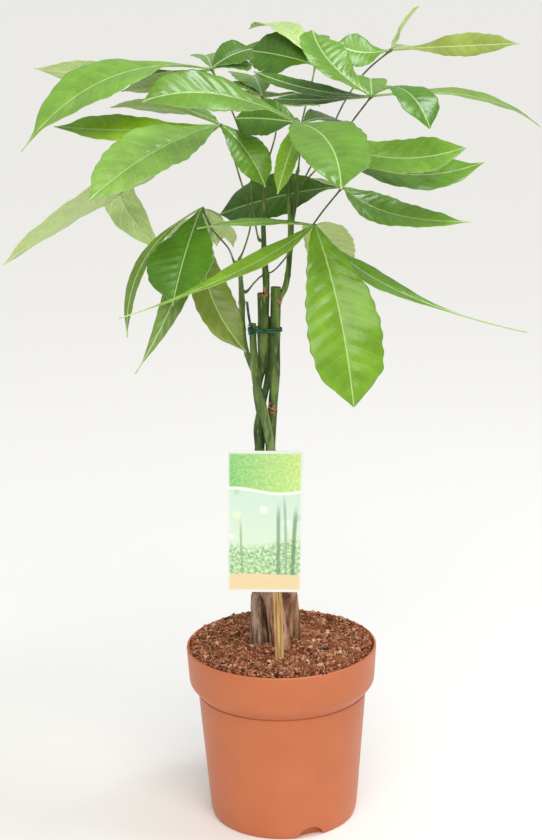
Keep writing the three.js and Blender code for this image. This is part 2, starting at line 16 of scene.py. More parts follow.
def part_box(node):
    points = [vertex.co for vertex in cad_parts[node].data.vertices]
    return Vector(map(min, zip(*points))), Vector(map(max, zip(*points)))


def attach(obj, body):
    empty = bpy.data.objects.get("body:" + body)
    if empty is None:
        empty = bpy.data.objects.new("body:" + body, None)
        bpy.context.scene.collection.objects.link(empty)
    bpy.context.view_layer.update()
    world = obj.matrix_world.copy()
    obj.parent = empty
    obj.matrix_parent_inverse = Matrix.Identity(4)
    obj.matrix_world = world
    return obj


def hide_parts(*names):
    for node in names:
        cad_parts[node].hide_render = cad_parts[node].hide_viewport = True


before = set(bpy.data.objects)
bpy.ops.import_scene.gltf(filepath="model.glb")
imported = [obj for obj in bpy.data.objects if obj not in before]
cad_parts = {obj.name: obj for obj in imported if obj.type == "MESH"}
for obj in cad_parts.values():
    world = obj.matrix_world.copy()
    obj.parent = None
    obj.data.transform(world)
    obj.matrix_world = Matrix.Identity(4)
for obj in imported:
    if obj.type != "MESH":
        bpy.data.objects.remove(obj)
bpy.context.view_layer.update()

MM = 0.001
BODY = "root"

# %% [markdown]
# The camera stands where the plant was seen from: 1.5 m in front, a little above the leaves,
# looking 14 degrees down. A long lens keeps the pot's sides nearly parallel. The sensor's long
# side is the picture's height, so focal length over sensor equals focal pixels over height.

# %% Camera
PICTURE_HEIGHT = 840
FOCAL_PIXELS = 1780
SENSOR = 36.0
CAMERA_PLACE = Vector((0, -1.5, 0.743))
YAW, PITCH, ROLL = (math.radians(angle) for angle in (-0.22, 14.11, -1.02))
RIGHT_ANGLE = math.radians(90)


def linked(name, data):
    """A new object of the scene, with this data."""
    piece = bpy.data.objects.new(name, data)
    bpy.context.scene.collection.objects.link(piece)
    return piece


camera = linked("camera", bpy.data.cameras.new("camera"))
camera.data.sensor_width = SENSOR
camera.data.lens = SENSOR * FOCAL_PIXELS / PICTURE_HEIGHT
camera.matrix_world = (
    Matrix.Translation(CAMERA_PLACE) @ Matrix.Rotation(-YAW, 4, "Z")
    @ Matrix.Rotation(RIGHT_ANGLE - PITCH, 4, "X") @ Matrix.Rotation(ROLL, 4, "Z"))
bpy.context.scene.camera = camera
print("lens", round(camera.data.lens, 2), "mm")

# %% [markdown]
# Some helpers serve every piece. Colours are written as sRGB hex, as a colour picker shows them,
# and turned to the linear values that shaders work with. One function adds any node, shader or
# geometry, with its settings and links. A node has more sockets than it uses at one setting, so
# values without a name go, in order, to those that are switched on: a colour mix takes its share
# and two colours, and a range takes a value, the two ends it comes from and the two it goes to.

# %% Helpers for colour and nodes
RGBA = {"data_type": "RGBA"}
SMOOTH = {"interpolation_type": "SMOOTHSTEP"}
NODE_FAMILIES = ("ShaderNode", "GeometryNode", "FunctionNode", "Node")


def colour(hex_value):
    """Linear RGBA from an sRGB hex string."""
    channels = [int(hex_value[i:i + 2], 16) / 255 for i in (1, 3, 5)]
    return tuple(c / 12.92 if c <= 0.04045 else ((c + 0.055) / 1.055) ** 2.4 for c in channels) + (1.0,)


def feed(node, *values, **named):
    """Gives inputs, in order or by name with _ for a space, what they take: a value, a hex colour,
    a socket, or the output that another node has switched on."""
    used = [index for index, socket in enumerate(node.inputs) if socket.enabled]
    for key, value in [*zip(used, values), *named.items()]:
        socket = node.inputs[key if isinstance(key, int) else key.replace("_", " ")]
        if isinstance(value, str) and value.startswith("#"):
            value = colour(value)
        if isinstance(value, bpy.types.Node):
            value = next(output for output in value.outputs if output.enabled)
        if isinstance(value, bpy.types.NodeSocket):
            node.id_data.links.new(value, socket)
        else:
            socket.default_value = value


def add_node(tree, kind, *values, stops=None, **named):
    """A new node of a kind, such as Math. Names in lower case are its settings, and names with a
    capital are its inputs. A colour ramp also takes {position: hex} stops."""
    family = next(name for name in NODE_FAMILIES if hasattr(bpy.types, name + kind))
    node = tree.nodes.new(family + kind)
    for name, value in named.items():
        if name[0].islower():
            setattr(node, name, value)
    for _ in range(2, len(stops or ())):
        node.color_ramp.elements.new(0.5)
    for index, (position, hex_value) in enumerate((stops or {}).items()):
        node.color_ramp.elements[index].position = position
        node.color_ramp.elements[index].color = colour(hex_value)
    feed(node, *values, **{name: value for name, value in named.items() if name[0].isupper()})
    return node


def new_material(name, roughness, ior=1.46):
    """A material, its shader, and the function that adds nodes to its tree."""
    material = bpy.data.materials.new(name)
    material.use_nodes = True
    shader = material.node_tree.nodes["Principled BSDF"]
    feed(shader, Roughness=roughness, IOR=ior)
    return material, shader, partial(add_node, material.node_tree)


def painted(add, ground, paint, value, bare, full, strength=1.0):
    """Paint over a ground, from none where the value is bare to its strength where it is full."""
    share = add("MapRange", value, bare, full, 0.0, strength, **SMOOTH)
    return add("Mix", share, ground, paint, **RGBA)


def grained(name, roughness, ior, grain, stops, stretch=1.0, relief=None):
    """A material whose colour follows one noise: grain is its size in mm, detail and harshness.
    A small stretch draws it out along Z, and a relief is a bump of (strength, depth in mm)."""
    material, shader, add = new_material(name, roughness, ior)
    size, detail, harshness = grain
    place = add("Mapping", Vector=add("TexCoord").outputs["Object"], Scale=(1, 1, stretch))
    noise = add("TexNoise", Vector=place, Scale=1 / (size * MM), Detail=detail, Roughness=harshness)
    feed(shader, Base_Color=add("ValToRGB", noise, stops=stops))
    if relief:
        strength, depth = relief
        bump = add("Bump", Strength=strength, Distance=depth * MM, Height=noise)
        feed(shader, Normal=bump)
    return material


# %% Helpers for meshes
def mesh_object(name, corners, faces, materials=(), slots=None, edges=()):
    """A smooth-shaded object at the origin, from corners in metres and faces or edges."""
    mesh = bpy.data.meshes.new(name)
    mesh.from_pydata([tuple(c) for c in corners], edges, [tuple(f) for f in faces])
    for material in materials:
        mesh.materials.append(material)
    if slots is not None:
        mesh.polygons.foreach_set("material_index", np.asarray(slots, dtype=np.int32))
    mesh.shade_smooth()
    mesh.update()
    return linked(name, mesh)


def finished_mesh(piece):
    """Replaces an object's mesh by its evaluated one and removes its modifiers."""
    bpy.context.view_layer.update()
    evaluated = piece.evaluated_get(bpy.context.evaluated_depsgraph_get())
    result = bpy.data.meshes.new_from_object(evaluated)
    piece.modifiers.clear()
    piece.data = result
    result.name = piece.name
    return piece


def stand_for(piece, slot, *nodes):
    """The piece rides on the one body and stands for its CAD nodes. Its slot is not used."""
    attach(piece, BODY)
    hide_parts(*nodes)
    print(f"{piece.name}: {sum(len(p.vertices) - 2 for p in piece.data.polygons)} triangles")


def smoothstep(low, high, x):
    share = np.clip((x - low) / (high - low), 0, 1)
    return share * share * (3 - 2 * share)


def unit(vectors):
    return vectors / np.linalg.norm(vectors, axis=-1, keepdims=True)


def around(angle, reach, height):
    """Points round the Z axis. Angle, reach and height are each an array or one number."""
    return np.stack(np.broadcast_arrays(reach * np.cos(angle), reach * np.sin(angle), height), -1)


def bent(start, middle, end, t):
    """The point at a share t of a curve that leaves for the middle and arrives from it."""
    return (1 - t) ** 2 * start + 2 * t * (1 - t) * middle + t**2 * end


# %% [markdown]
# The pot is injection moulded in polypropylene: one wall of even thickness, a foot with drain
# notches, a shoulder and a stiff rim band. A lathe gives all of it from one outline. Every corner
# of the outline is cut back and bridged by a curve, as the mould's edges are, so the light runs
# round the lip and the shoulder. The notches are cut last with a Boolean.

# %% Outlines with rounded corners, and the lathe
def rounded(corners, steps=4):
    """Points of an outline whose corners (x, y, cut) are cut back and bridged by a curve."""
    points = []
    for i, (*place, cut) in enumerate(corners):
        here = np.array(place, float)
        if cut == 0:
            points.append(here)
            continue
        before, after = (np.array(corners[(i + step) % len(corners)][:2], float) for step in (-1, 1))
        start, end = (here + unit(other - here) * cut for other in (before, after))
        points += [bent(start, here, end, t) for t in np.linspace(0, 1, steps + 1)]
    return points


def lathe(outline, segments):
    """Corners and faces of an outline of (radius, height) turned about Z; it starts on the axis."""
    angles = np.arange(segments) * 2 * math.pi / segments
    corners = np.concatenate([around(angles, radius, height) for radius, height in outline])
    faces = []
    for first in range(0, (len(outline) - 1) * segments, segments):
        for k in range(segments):
            after = (k + 1) % segments
            faces.append((first + k, first + after, first + after + segments, first + k + segments))
    return corners, faces


def welded(piece, distance=1e-6):
    """Merges corners that coincide, such as those at a lathe's poles, and faces all outwards."""
    work = bmesh.new()
    work.from_mesh(piece.data)
    bmesh.ops.remove_doubles(work, verts=work.verts, dist=distance)
    bmesh.ops.dissolve_degenerate(work, edges=work.edges, dist=distance)
    bmesh.ops.recalc_face_normals(work, faces=work.faces)
    work.to_mesh(piece.data)
    work.free()
    return piece


# %% Pot sizes
POT_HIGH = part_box("pot")[1]
POT_HEIGHT = POT_HIGH.z
RIM_RADIUS = POT_HIGH.x
WALL = 2.2 * MM
FLOOR = 2.5 * MM
BAND_BOTTOM = (83 * MM, 127 * MM)
WALL_TOP = (75.5 * MM, 118 * MM)
WALL_BOTTOM_RADIUS = 66.5 * MM
BASE_RADIUS = 64.5 * MM
FOOT = (53 * MM, 13 * MM)
LIP = 1.6 * MM
GROOVE = 1.1 * MM
POT_SEGMENTS = 144
NOTCH = {"count": 3, "first": -69, "width": 26 * MM, "height": 10 * MM, "depth": 8 * MM, "shoulder": 0.75}
print("pot", round(POT_HEIGHT / MM), "mm high,", round(2 * RIM_RADIUS / MM), "mm over the rim")


def pot_outline():
    """(radius, height, cut) from inside the floor, up over the lip and down to the underside."""
    return rounded([
        (0, FLOOR, 0),
        (FOOT[0], FLOOR, 0),
        (FOOT[0] + 2 * MM, FOOT[1], 0),
        (WALL_BOTTOM_RADIUS - WALL, FOOT[1] + 1 * MM, 0),
        (WALL_TOP[0] - WALL, WALL_TOP[1], 0),
        (BAND_BOTTOM[0] - WALL, BAND_BOTTOM[1], 0),
        (RIM_RADIUS - WALL, POT_HEIGHT, 0.8 * MM),
        (RIM_RADIUS, POT_HEIGHT, LIP),
        (*BAND_BOTTOM, 3.2 * MM),
        (WALL_TOP[0] + 0.4 * MM, WALL_TOP[1] + 0.5 * MM, 0),
        (WALL_TOP[0] - GROOVE, WALL_TOP[1] + 0.3 * MM, 0.2 * MM),
        (WALL_TOP[0] - GROOVE, WALL_TOP[1] - 0.9 * MM, 0.2 * MM),
        (WALL_TOP[0] - 0.1 * MM, WALL_TOP[1] - 1.3 * MM, 0.3 * MM),
        (WALL_BOTTOM_RADIUS, 6.4 * MM, 2.4 * MM),
        (BASE_RADIUS, 0, 1.2 * MM),
        (0, 0, 0),
    ])


def notch_cutter(angle):
    """An arched bar that reaches into the foot from outside, for the Boolean."""
    half, height = NOTCH["width"] / 2, NOTCH["height"]
    sill, shoulder, crown = (np.array(p) for p in (
        (half, -MM), (half * NOTCH["shoulder"], height), (0, height)))
    arch = [bent(sill, shoulder, crown, t) for t in np.linspace(0, 1, 9)]
    outline = arch + [(-x, z) for x, z in reversed(arch[:-1])]
    inner, outer = WALL_BOTTOM_RADIUS - NOTCH["depth"], WALL_BOTTOM_RADIUS + NOTCH["depth"]
    corners = [(reach, x, z) for reach in (inner, outer) for x, z in outline]
    n = len(outline)
    faces = [tuple(range(n)), tuple(range(2 * n - 1, n - 1, -1))]
    faces += [(k, k + n, (k + 1) % n + n, (k + 1) % n) for k in range(n)]
    cutter = mesh_object("cutter", corners, faces)
    cutter.data.transform(Matrix.Rotation(math.radians(angle), 4, "Z"))
    return welded(cutter)


# %% [markdown]
# Polypropylene coloured terracotta: pigmented right through, so chips don't show, with the satin
# skin of a lightly textured mould. The eye reads a broad soft gloss, faint clouding of the
# pigment a few centimetres across, and a fine grain that breaks up the highlight.

# %% Material: moulded polypropylene
def moulded_polypropylene():
    material, shader, add = new_material("polypropylene_moulded_terracotta", 0.42, 1.49)
    place = add("TexCoord").outputs["Object"]
    clouds = add("TexNoise", Vector=place, Scale=1 / (38 * MM), Detail=3.0)
    tint = add("Mix", clouds, "#BF673C", "#CE7548", **RGBA)
    grain = add("TexNoise", Vector=place, Scale=1 / (0.9 * MM), Detail=2.0)
    speckled = add("Mix", 0.1, tint, grain.outputs["Color"], blend_type="MULTIPLY", **RGBA)
    bump = add("Bump", Strength=0.25, Distance=0.12 * MM, Height=grain)
    feed(shader, Base_Color=speckled, Normal=bump)
    return material


# %% Pot
pot = welded(mesh_object("nursery_pot", *lathe(pot_outline(), POT_SEGMENTS), [moulded_polypropylene()]))
cutters = [notch_cutter(NOTCH["first"] + 360 * i / NOTCH["count"]) for i in range(NOTCH["count"])]
for cutter in cutters:
    drain = pot.modifiers.new("drain", "BOOLEAN")
    drain.operation = "DIFFERENCE"
    drain.object = cutter
finished_mesh(pot)
for cutter in cutters:
    bpy.data.objects.remove(cutter)
pot.data.set_sharp_from_angle(angle=math.radians(38))
stand_for(pot, "pot_plastic", "pot")

# %% [markdown]
# Everything long and round here follows a path: stems, shoots, leaf stalks and the tie's wire.
# One Geometry Nodes tree sweeps a circle along any path. The path is a string of edges whose
# corners carry a thickness, so a stem tapers and a leaf stalk swells at both ends. The tree can
# also push its surface in and out by stretched noise, which makes bark. That relief is a share of
# the thickness, so thick old wood is rough and a young top is nearly smooth.

# %% Smooth paths
def smooth_path(points, step):
    """Points about a step apart on a centripetal Catmull-Rom curve through the given points."""
    given = np.array(points, float)
    given = np.vstack([2 * given[0] - given[1], given, 2 * given[-1] - given[-2]])
    path = []
    for before, a, b, after in zip(given, given[1:], given[2:], given[3:]):
        d0, d1, d2 = (np.linalg.norm(q - p) ** 0.5 for p, q in ((before, a), (a, b), (b, after)))
        leave = ((a - before) / d0 - (b - before) / (d0 + d1) + (b - a) / d1) * d1
        arrive = ((b - a) / d1 - (after - a) / (d1 + d2) + (after - b) / d2) * d1
        count = max(2, round(np.linalg.norm(b - a) / step))
        for s in np.arange(count) / count:
            path.append(a * (2 * s**3 - 3 * s**2 + 1) + leave * (s**3 - 2 * s**2 + s)
                        + b * (3 * s**2 - 2 * s**3) + arrive * (s**3 - s**2))
    path.append(given[-2])
    return np.array(path)


def value_along(line, x):
    """Value at x on a broken line of (x, value) pairs."""
    return np.interp(x, *zip(*line))


def path_object(name, paths):
    """Wire mesh of paths, each (points in mm, thickness in mm)."""
    corners, edges, thickness = [], [], []
    for points, radii in paths:
        edges += [(i, i + 1) for i in range(len(corners), len(corners) + len(points) - 1)]
        corners.extend(points * MM)
        thickness.extend(np.asarray(radii) * MM)
    piece = mesh_object(name, corners, [], edges=edges)
    piece.data.attributes.new("thickness", "FLOAT", "POINT").data.foreach_set("value", thickness)
    return piece


# %% Geometry Nodes: sweep a circle along a path
def new_geometry_tree(name, **inputs):
    """A Geometry Nodes tree, the sockets it is given, and the function that adds nodes to it."""
    tree = bpy.data.node_groups.new(name, "GeometryNodeTree")
    tree.is_modifier = True
    tree.interface.new_socket("Geometry", in_out="OUTPUT", socket_type="NodeSocketGeometry")
    for label, (kind, default) in {"Geometry": ("Geometry", None), **inputs}.items():
        socket = tree.interface.new_socket(label, in_out="INPUT", socket_type="NodeSocket" + kind)
        if default is not None:
            socket.default_value = default
    return tree, tree.nodes.new("NodeGroupInput").outputs, partial(add_node, tree)


def finish_tree(add, geometry, material):
    """Ends a tree as the export needs it: real geometry, dressed in its material."""
    real = add("RealizeInstances", geometry)
    dressed = add("SetMaterial", Geometry=real, Material=material)
    add("GroupOutput", dressed)


def sweep_tree():
    tree, given, add = new_geometry_tree(
        "sweep along a path", sides=("Int", 12), relief=("Float", 0.0), grain_width=("Float", 2.5 * MM),
        grain_stretch=("Float", 0.2), material=("Material", None))
    curve = add("MeshToCurve", Mesh=given["Geometry"])
    thickness = add("InputNamedAttribute", Name="thickness", data_type="FLOAT")
    circle = add("CurvePrimitiveCircle", Resolution=given["sides"], Radius=1.0)
    skin = add("CurveToMesh", Curve=curve, Profile_Curve=circle, Scale=thickness, Fill_Caps=True)
    place = add("InputPosition")
    stretch = add("CombineXYZ", 1.0, 1.0, given["grain_stretch"])
    stretched = add("VectorMath", place, stretch, operation="MULTIPLY")
    grain_scale = add("Math", 1.0, given["grain_width"], operation="DIVIDE")
    noise = add("TexNoise", Vector=stretched, Scale=grain_scale, Detail=2.0)
    centred = add("Math", noise, 0.5, operation="SUBTRACT")
    depth = add("Math", thickness, given["relief"], operation="MULTIPLY")
    height = add("Math", centred, depth, operation="MULTIPLY")
    normal = add("InputNormal")
    push = add("VectorMath", normal, height, operation="SCALE")
    rough = add("SetPosition", Geometry=skin, Offset=push)
    finish_tree(add, add("SetShadeSmooth", rough), given["material"])
    return tree


SWEEP = sweep_tree()


def with_tree(piece, tree, **values):
    """Runs a Geometry Nodes tree on a piece with these inputs and keeps the plain result."""
    modifier = piece.modifiers.new(tree.name, "NODES")
    modifier.node_group = tree
    for item in tree.interface.items_tree:
        if item.in_out == "INPUT" and item.name in values:
            modifier[item.identifier] = values[item.name]
    return finished_mesh(piece)


# %% [markdown]
# The four stems were wound round each other when young and soft. Low down they are a rope about
# 50 mm across, near the tie they run side by side. Each is a list of places through which the
# path passes: the wound part is worked out from a turning angle, and the top's places are listed one by one.

# %% Stem paths
STRAND_TAPER = [(110, 9.8), (160, 9.4), (200, 8.2), (260, 6.4), (341, 4.2), (400, 4.1)]
WINDING_HEIGHTS = np.array([110, 135, 160, 180, 200, 224, 248, 272, 296, 318, 341])
WINDING_TURN = [(110, 270), (200, 225), (341, 0)]
WINDING_REACH = 1.58
BRAID_MIDDLE = [(120, -5), (200, -5.5), (341, -11.3)]
STEM_FOOT = 120
ROUNDNESS = 0.96
STRAND_STEP, SHOOT_STEP = 2.0, 1.5

STRANDS = {
    "stem_1": {
        "start": -45,
        "top": [(-9.2, -7.4, 361), (-13, -8.8, 380), (-16.2, -6.9, 394), (-18.6, -4, 411), (-19.9, -2.4, 437),
                (-19.8, -2.2, 452)],
        "taper": [(400, 4), (411, 3.7), (437, 3.1), (452, 3)],
    },
    "stem_2": {
        "start": 135,
        "top": [(-13.6, 9.6, 362), (-16.5, 8.3, 384), (-17.2, 6.4, 394), (-15.5, 4.8, 403), (-13.2, 3.2, 412),
                (-11.8, 1.5, 421), (-11.3, -1.4, 437), (-10.2, -1.8, 478)],
        "taper": [(384, 4.1), (403, 4.2), (425, 4.8), (440, 5), (478, 5.3)],
    },
    "stem_3": {
        "start": 45,
        "top": [(-5.2, 3.4, 360), (-3.8, -1.4, 381), (-1.8, -3.8, 402), (-1, -1.8, 437), (0.4, -1, 483)],
        "taper": [(384, 4.2), (437, 4.6), (483, 4.6)],
    },
    "stem_4": {
        "start": -135,
        "top": [(-17.2, -0.6, 361), (-12.6, 0.3, 382), (-9.4, 2.3, 394), (-6.6, 7, 403), (-5.4, 9.4, 412),
                (-5.6, 9.4, 437), (-5.6, 9, 455)],
        "taper": [(382, 3.2), (394, 3.1), (403, 4), (455, 4.2)],
    },
}

SHOOTS = {
    "stem_1": [
        ([(-18.6, -3.5, 407), (-24, -2.4, 421), (-27.4, -1.5, 436), (-28.6, -1, 452), (-28.8, -0.6, 465),
          (-29, 0, 478), (-29.6, 0, 493), (-30.5, 0, 505)],
         [(407, 2.4), (436, 2.3), (455, 2.3), (470, 2.8), (490, 1.9), (505, 1.7)]),
    ],
    "stem_2": [
        ([(-8.6, -1, 470), (-7.8, -0.5, 484), (-8.4, 0, 500), (-9.1, 0, 520), (-9.3, 0, 542),
          (-8.6, 0, 560), (-8.1, 0, 577)],
         [(470, 2.9), (492, 2.9), (512, 2.2), (577, 1.8)]),
    ],
    "stem_3": [
        ([(0.6, -0.8, 462), (3.4, -0.5, 473), (8.2, 0, 482), (10.8, 0, 494), (12.3, 0, 508),
          (13.7, 0, 526), (14.2, 0, 544)],
         [(462, 2.6), (480, 2.7), (500, 2.3), (544, 2.7)]),
        ([(14.2, 0, 536), (12.8, 0, 550), (12.4, 0.4, 564), (12.8, 0.8, 579)], [(536, 2), (579, 1.8)]),
        ([(14.2, 0, 536), (17.2, 0, 550), (19.2, -0.2, 564), (19.4, -0.4, 579)], [(536, 2), (579, 1.8)]),
    ],
    "stem_4": [],
}


def strand_path(name):
    """Fine path of a strand and its radii, from its foot in the soil to its cut top, in mm."""
    strand = STRANDS[name]
    angles = np.radians(strand["start"] + value_along(WINDING_TURN, WINDING_HEIGHTS))
    reach = WINDING_REACH * value_along(STRAND_TAPER, WINDING_HEIGHTS)
    wound = around(angles, reach, WINDING_HEIGHTS)
    wound[:, 0] += value_along(BRAID_MIDDLE, WINDING_HEIGHTS)
    path = smooth_path([*wound, *strand["top"]], STRAND_STEP)
    path = path[path[:, 2] >= STEM_FOOT]
    return path, value_along(STRAND_TAPER[:5] + strand["taper"], path[:, 2])


def swollen(heights, pitch, first, swelling, sharpness):
    """Factor on a thickness that swells it at rings a pitch apart, such as old scars."""
    return 1 + swelling * np.maximum(0, np.cos(2 * math.pi * (heights - first) / pitch)) ** sharpness


# %% [markdown]
# Low on the stems the bark is old: grey-brown cork, cracked lengthwise as the wood under it
# thickened, with a pinkish tan skin in the cracks. Higher up it is young, smooth and green, with
# olive and blue-green patches and pale corky dots. Height blends the one into the other, and
# round brown scars show where leaves and shoots were cut off.

# %% Material: bark, woody below and green above
def living_bark(name, corks, skins, *scars):
    """Bark from three browns of old cork and three greens of young skin, dark to pale.
    Each scar is (x, y, z, reach) in mm."""
    material, shader, add = new_material(name, 0.6, 1.45)
    place = add("TexCoord").outputs["Object"]
    long_grain = add("Mapping", Vector=place, Scale=(1, 1, 0.16))
    cracks = add("TexNoise", Vector=long_grain, Scale=1 / (4.5 * MM), Detail=5.0, Roughness=0.65)
    cork = add("ValToRGB", cracks, stops=dict(zip((0.36, 0.5, 0.62), corks)))
    patches = add("TexNoise", Vector=long_grain, Scale=1 / (6 * MM), Detail=4.0, Roughness=0.6)
    skin = add("ValToRGB", patches, stops=dict(zip((0.36, 0.5, 0.64), skins)))
    dots = add("TexVoronoi", Vector=long_grain, Scale=1 / (3.4 * MM))
    dot = add("MapRange", dots.outputs["Distance"], 0.1, 0.24, 0.55, 0.0)
    dotted = add("Mix", dot, skin, "#9E9468", **RGBA)
    height = add("SeparateXYZ", place).outputs["Z"]
    wander = add("Math", patches, 0.12, height, operation="MULTIPLY_ADD")
    whole = painted(add, cork, dotted, wander, 0.27, 0.40)
    crust = add("TexNoise", Vector=place, Scale=1 / (2.2 * MM), Detail=4.0, Roughness=0.7)
    callus = add("ValToRGB", crust, stops={0.4: "#3E2014", 0.5: "#8A4E2E", 0.62: "#D8B07C"})
    for *middle, reach in scars:
        away = add("VectorMath", place, Vector(middle) * MM, operation="DISTANCE")
        ragged = add("Math", patches, 12 * MM, away, operation="MULTIPLY_ADD")
        whole = painted(add, whole, callus, ragged, (reach + 4) * MM, reach * MM, 0.9)
    bump = add("Bump", Strength=0.7, Distance=0.9 * MM, Height=cracks)
    feed(shader, Base_Color=whole, Normal=bump)
    return material


# %% Stems and shoots
BARKS = {
    "stem_1": living_bark(
        "bark_pale_green", ("#3A2A22", "#80644F", "#C0A088"), ("#3E5222", "#5C7436", "#8A9C5E")),
    "stem_2": living_bark(
        "bark_olive", ("#543828", "#9E7050", "#D0A886"), ("#2A400F", "#435A20", "#6A7E3A"),
        (-10, -4, 479, 8)),
    "stem_3": living_bark(
        "bark_leaf_green", ("#5A3A2C", "#A67A60", "#D2A68C"), ("#2E4612", "#506A26", "#7A9244"),
        (-7, -5, 376, 10), (3.5, -4, 470, 8)),
    "stem_4": living_bark(
        "bark_moss_green", ("#3E2E26", "#7E6654", "#B09884"), ("#2A421A", "#44602A", "#648046")),
}
# Sawn stem ends are dry red-brown wood, which tells old cuts from fresh growth.
SAWN = grained("stem_end_sawn_dry", 0.8, 1.46, (1.6, 3.0, 0.5), {0.35: "#4A2415", 0.65: "#9A6A42"})
wood = []

for name, shoots in SHOOTS.items():
    path, radii = strand_path(name)
    wood.append(path)
    joints = swollen(path[:, 2], pitch=34, first=0, swelling=0.06, sharpness=12)
    paths = [(path, radii * ROUNDNESS * joints)]
    for points, taper in shoots:
        shoot = smooth_path(points, SHOOT_STEP)
        wood.append(shoot)
        joints = swollen(shoot[:, 2], pitch=23, first=10, swelling=0.16, sharpness=10)
        paths.append((shoot, value_along(taper, shoot[:, 2]) * joints))
    stem = with_tree(path_object(name + "_bark", paths), SWEEP, sides=30, relief=0.22,
                     grain_width=3.6 * MM, grain_stretch=0.22, material=BARKS[name])
    stem.data.materials.append(SAWN)
    for face in stem.data.polygons:
        if len(face.vertices) > 4:
            face.material_index = 1
            face.use_smooth = False
    stand_for(stem, "stem_bark", name)

# %% [markdown]
# A leaf of this tree is a long stalk with leaflets spread from its end like fingers. Each
# leaflet's midrib is a quadratic curve from the hub to the tip, and the blade is laid along it,
# folded a little upwards at the rib and turned about it. What the coarse solid can't hold is
# added here: the raised rib, the quilting between side veins and the frilled margin. Some blades
# lie up to 10 mm off the solid's, so that none passes through another away from the hub.

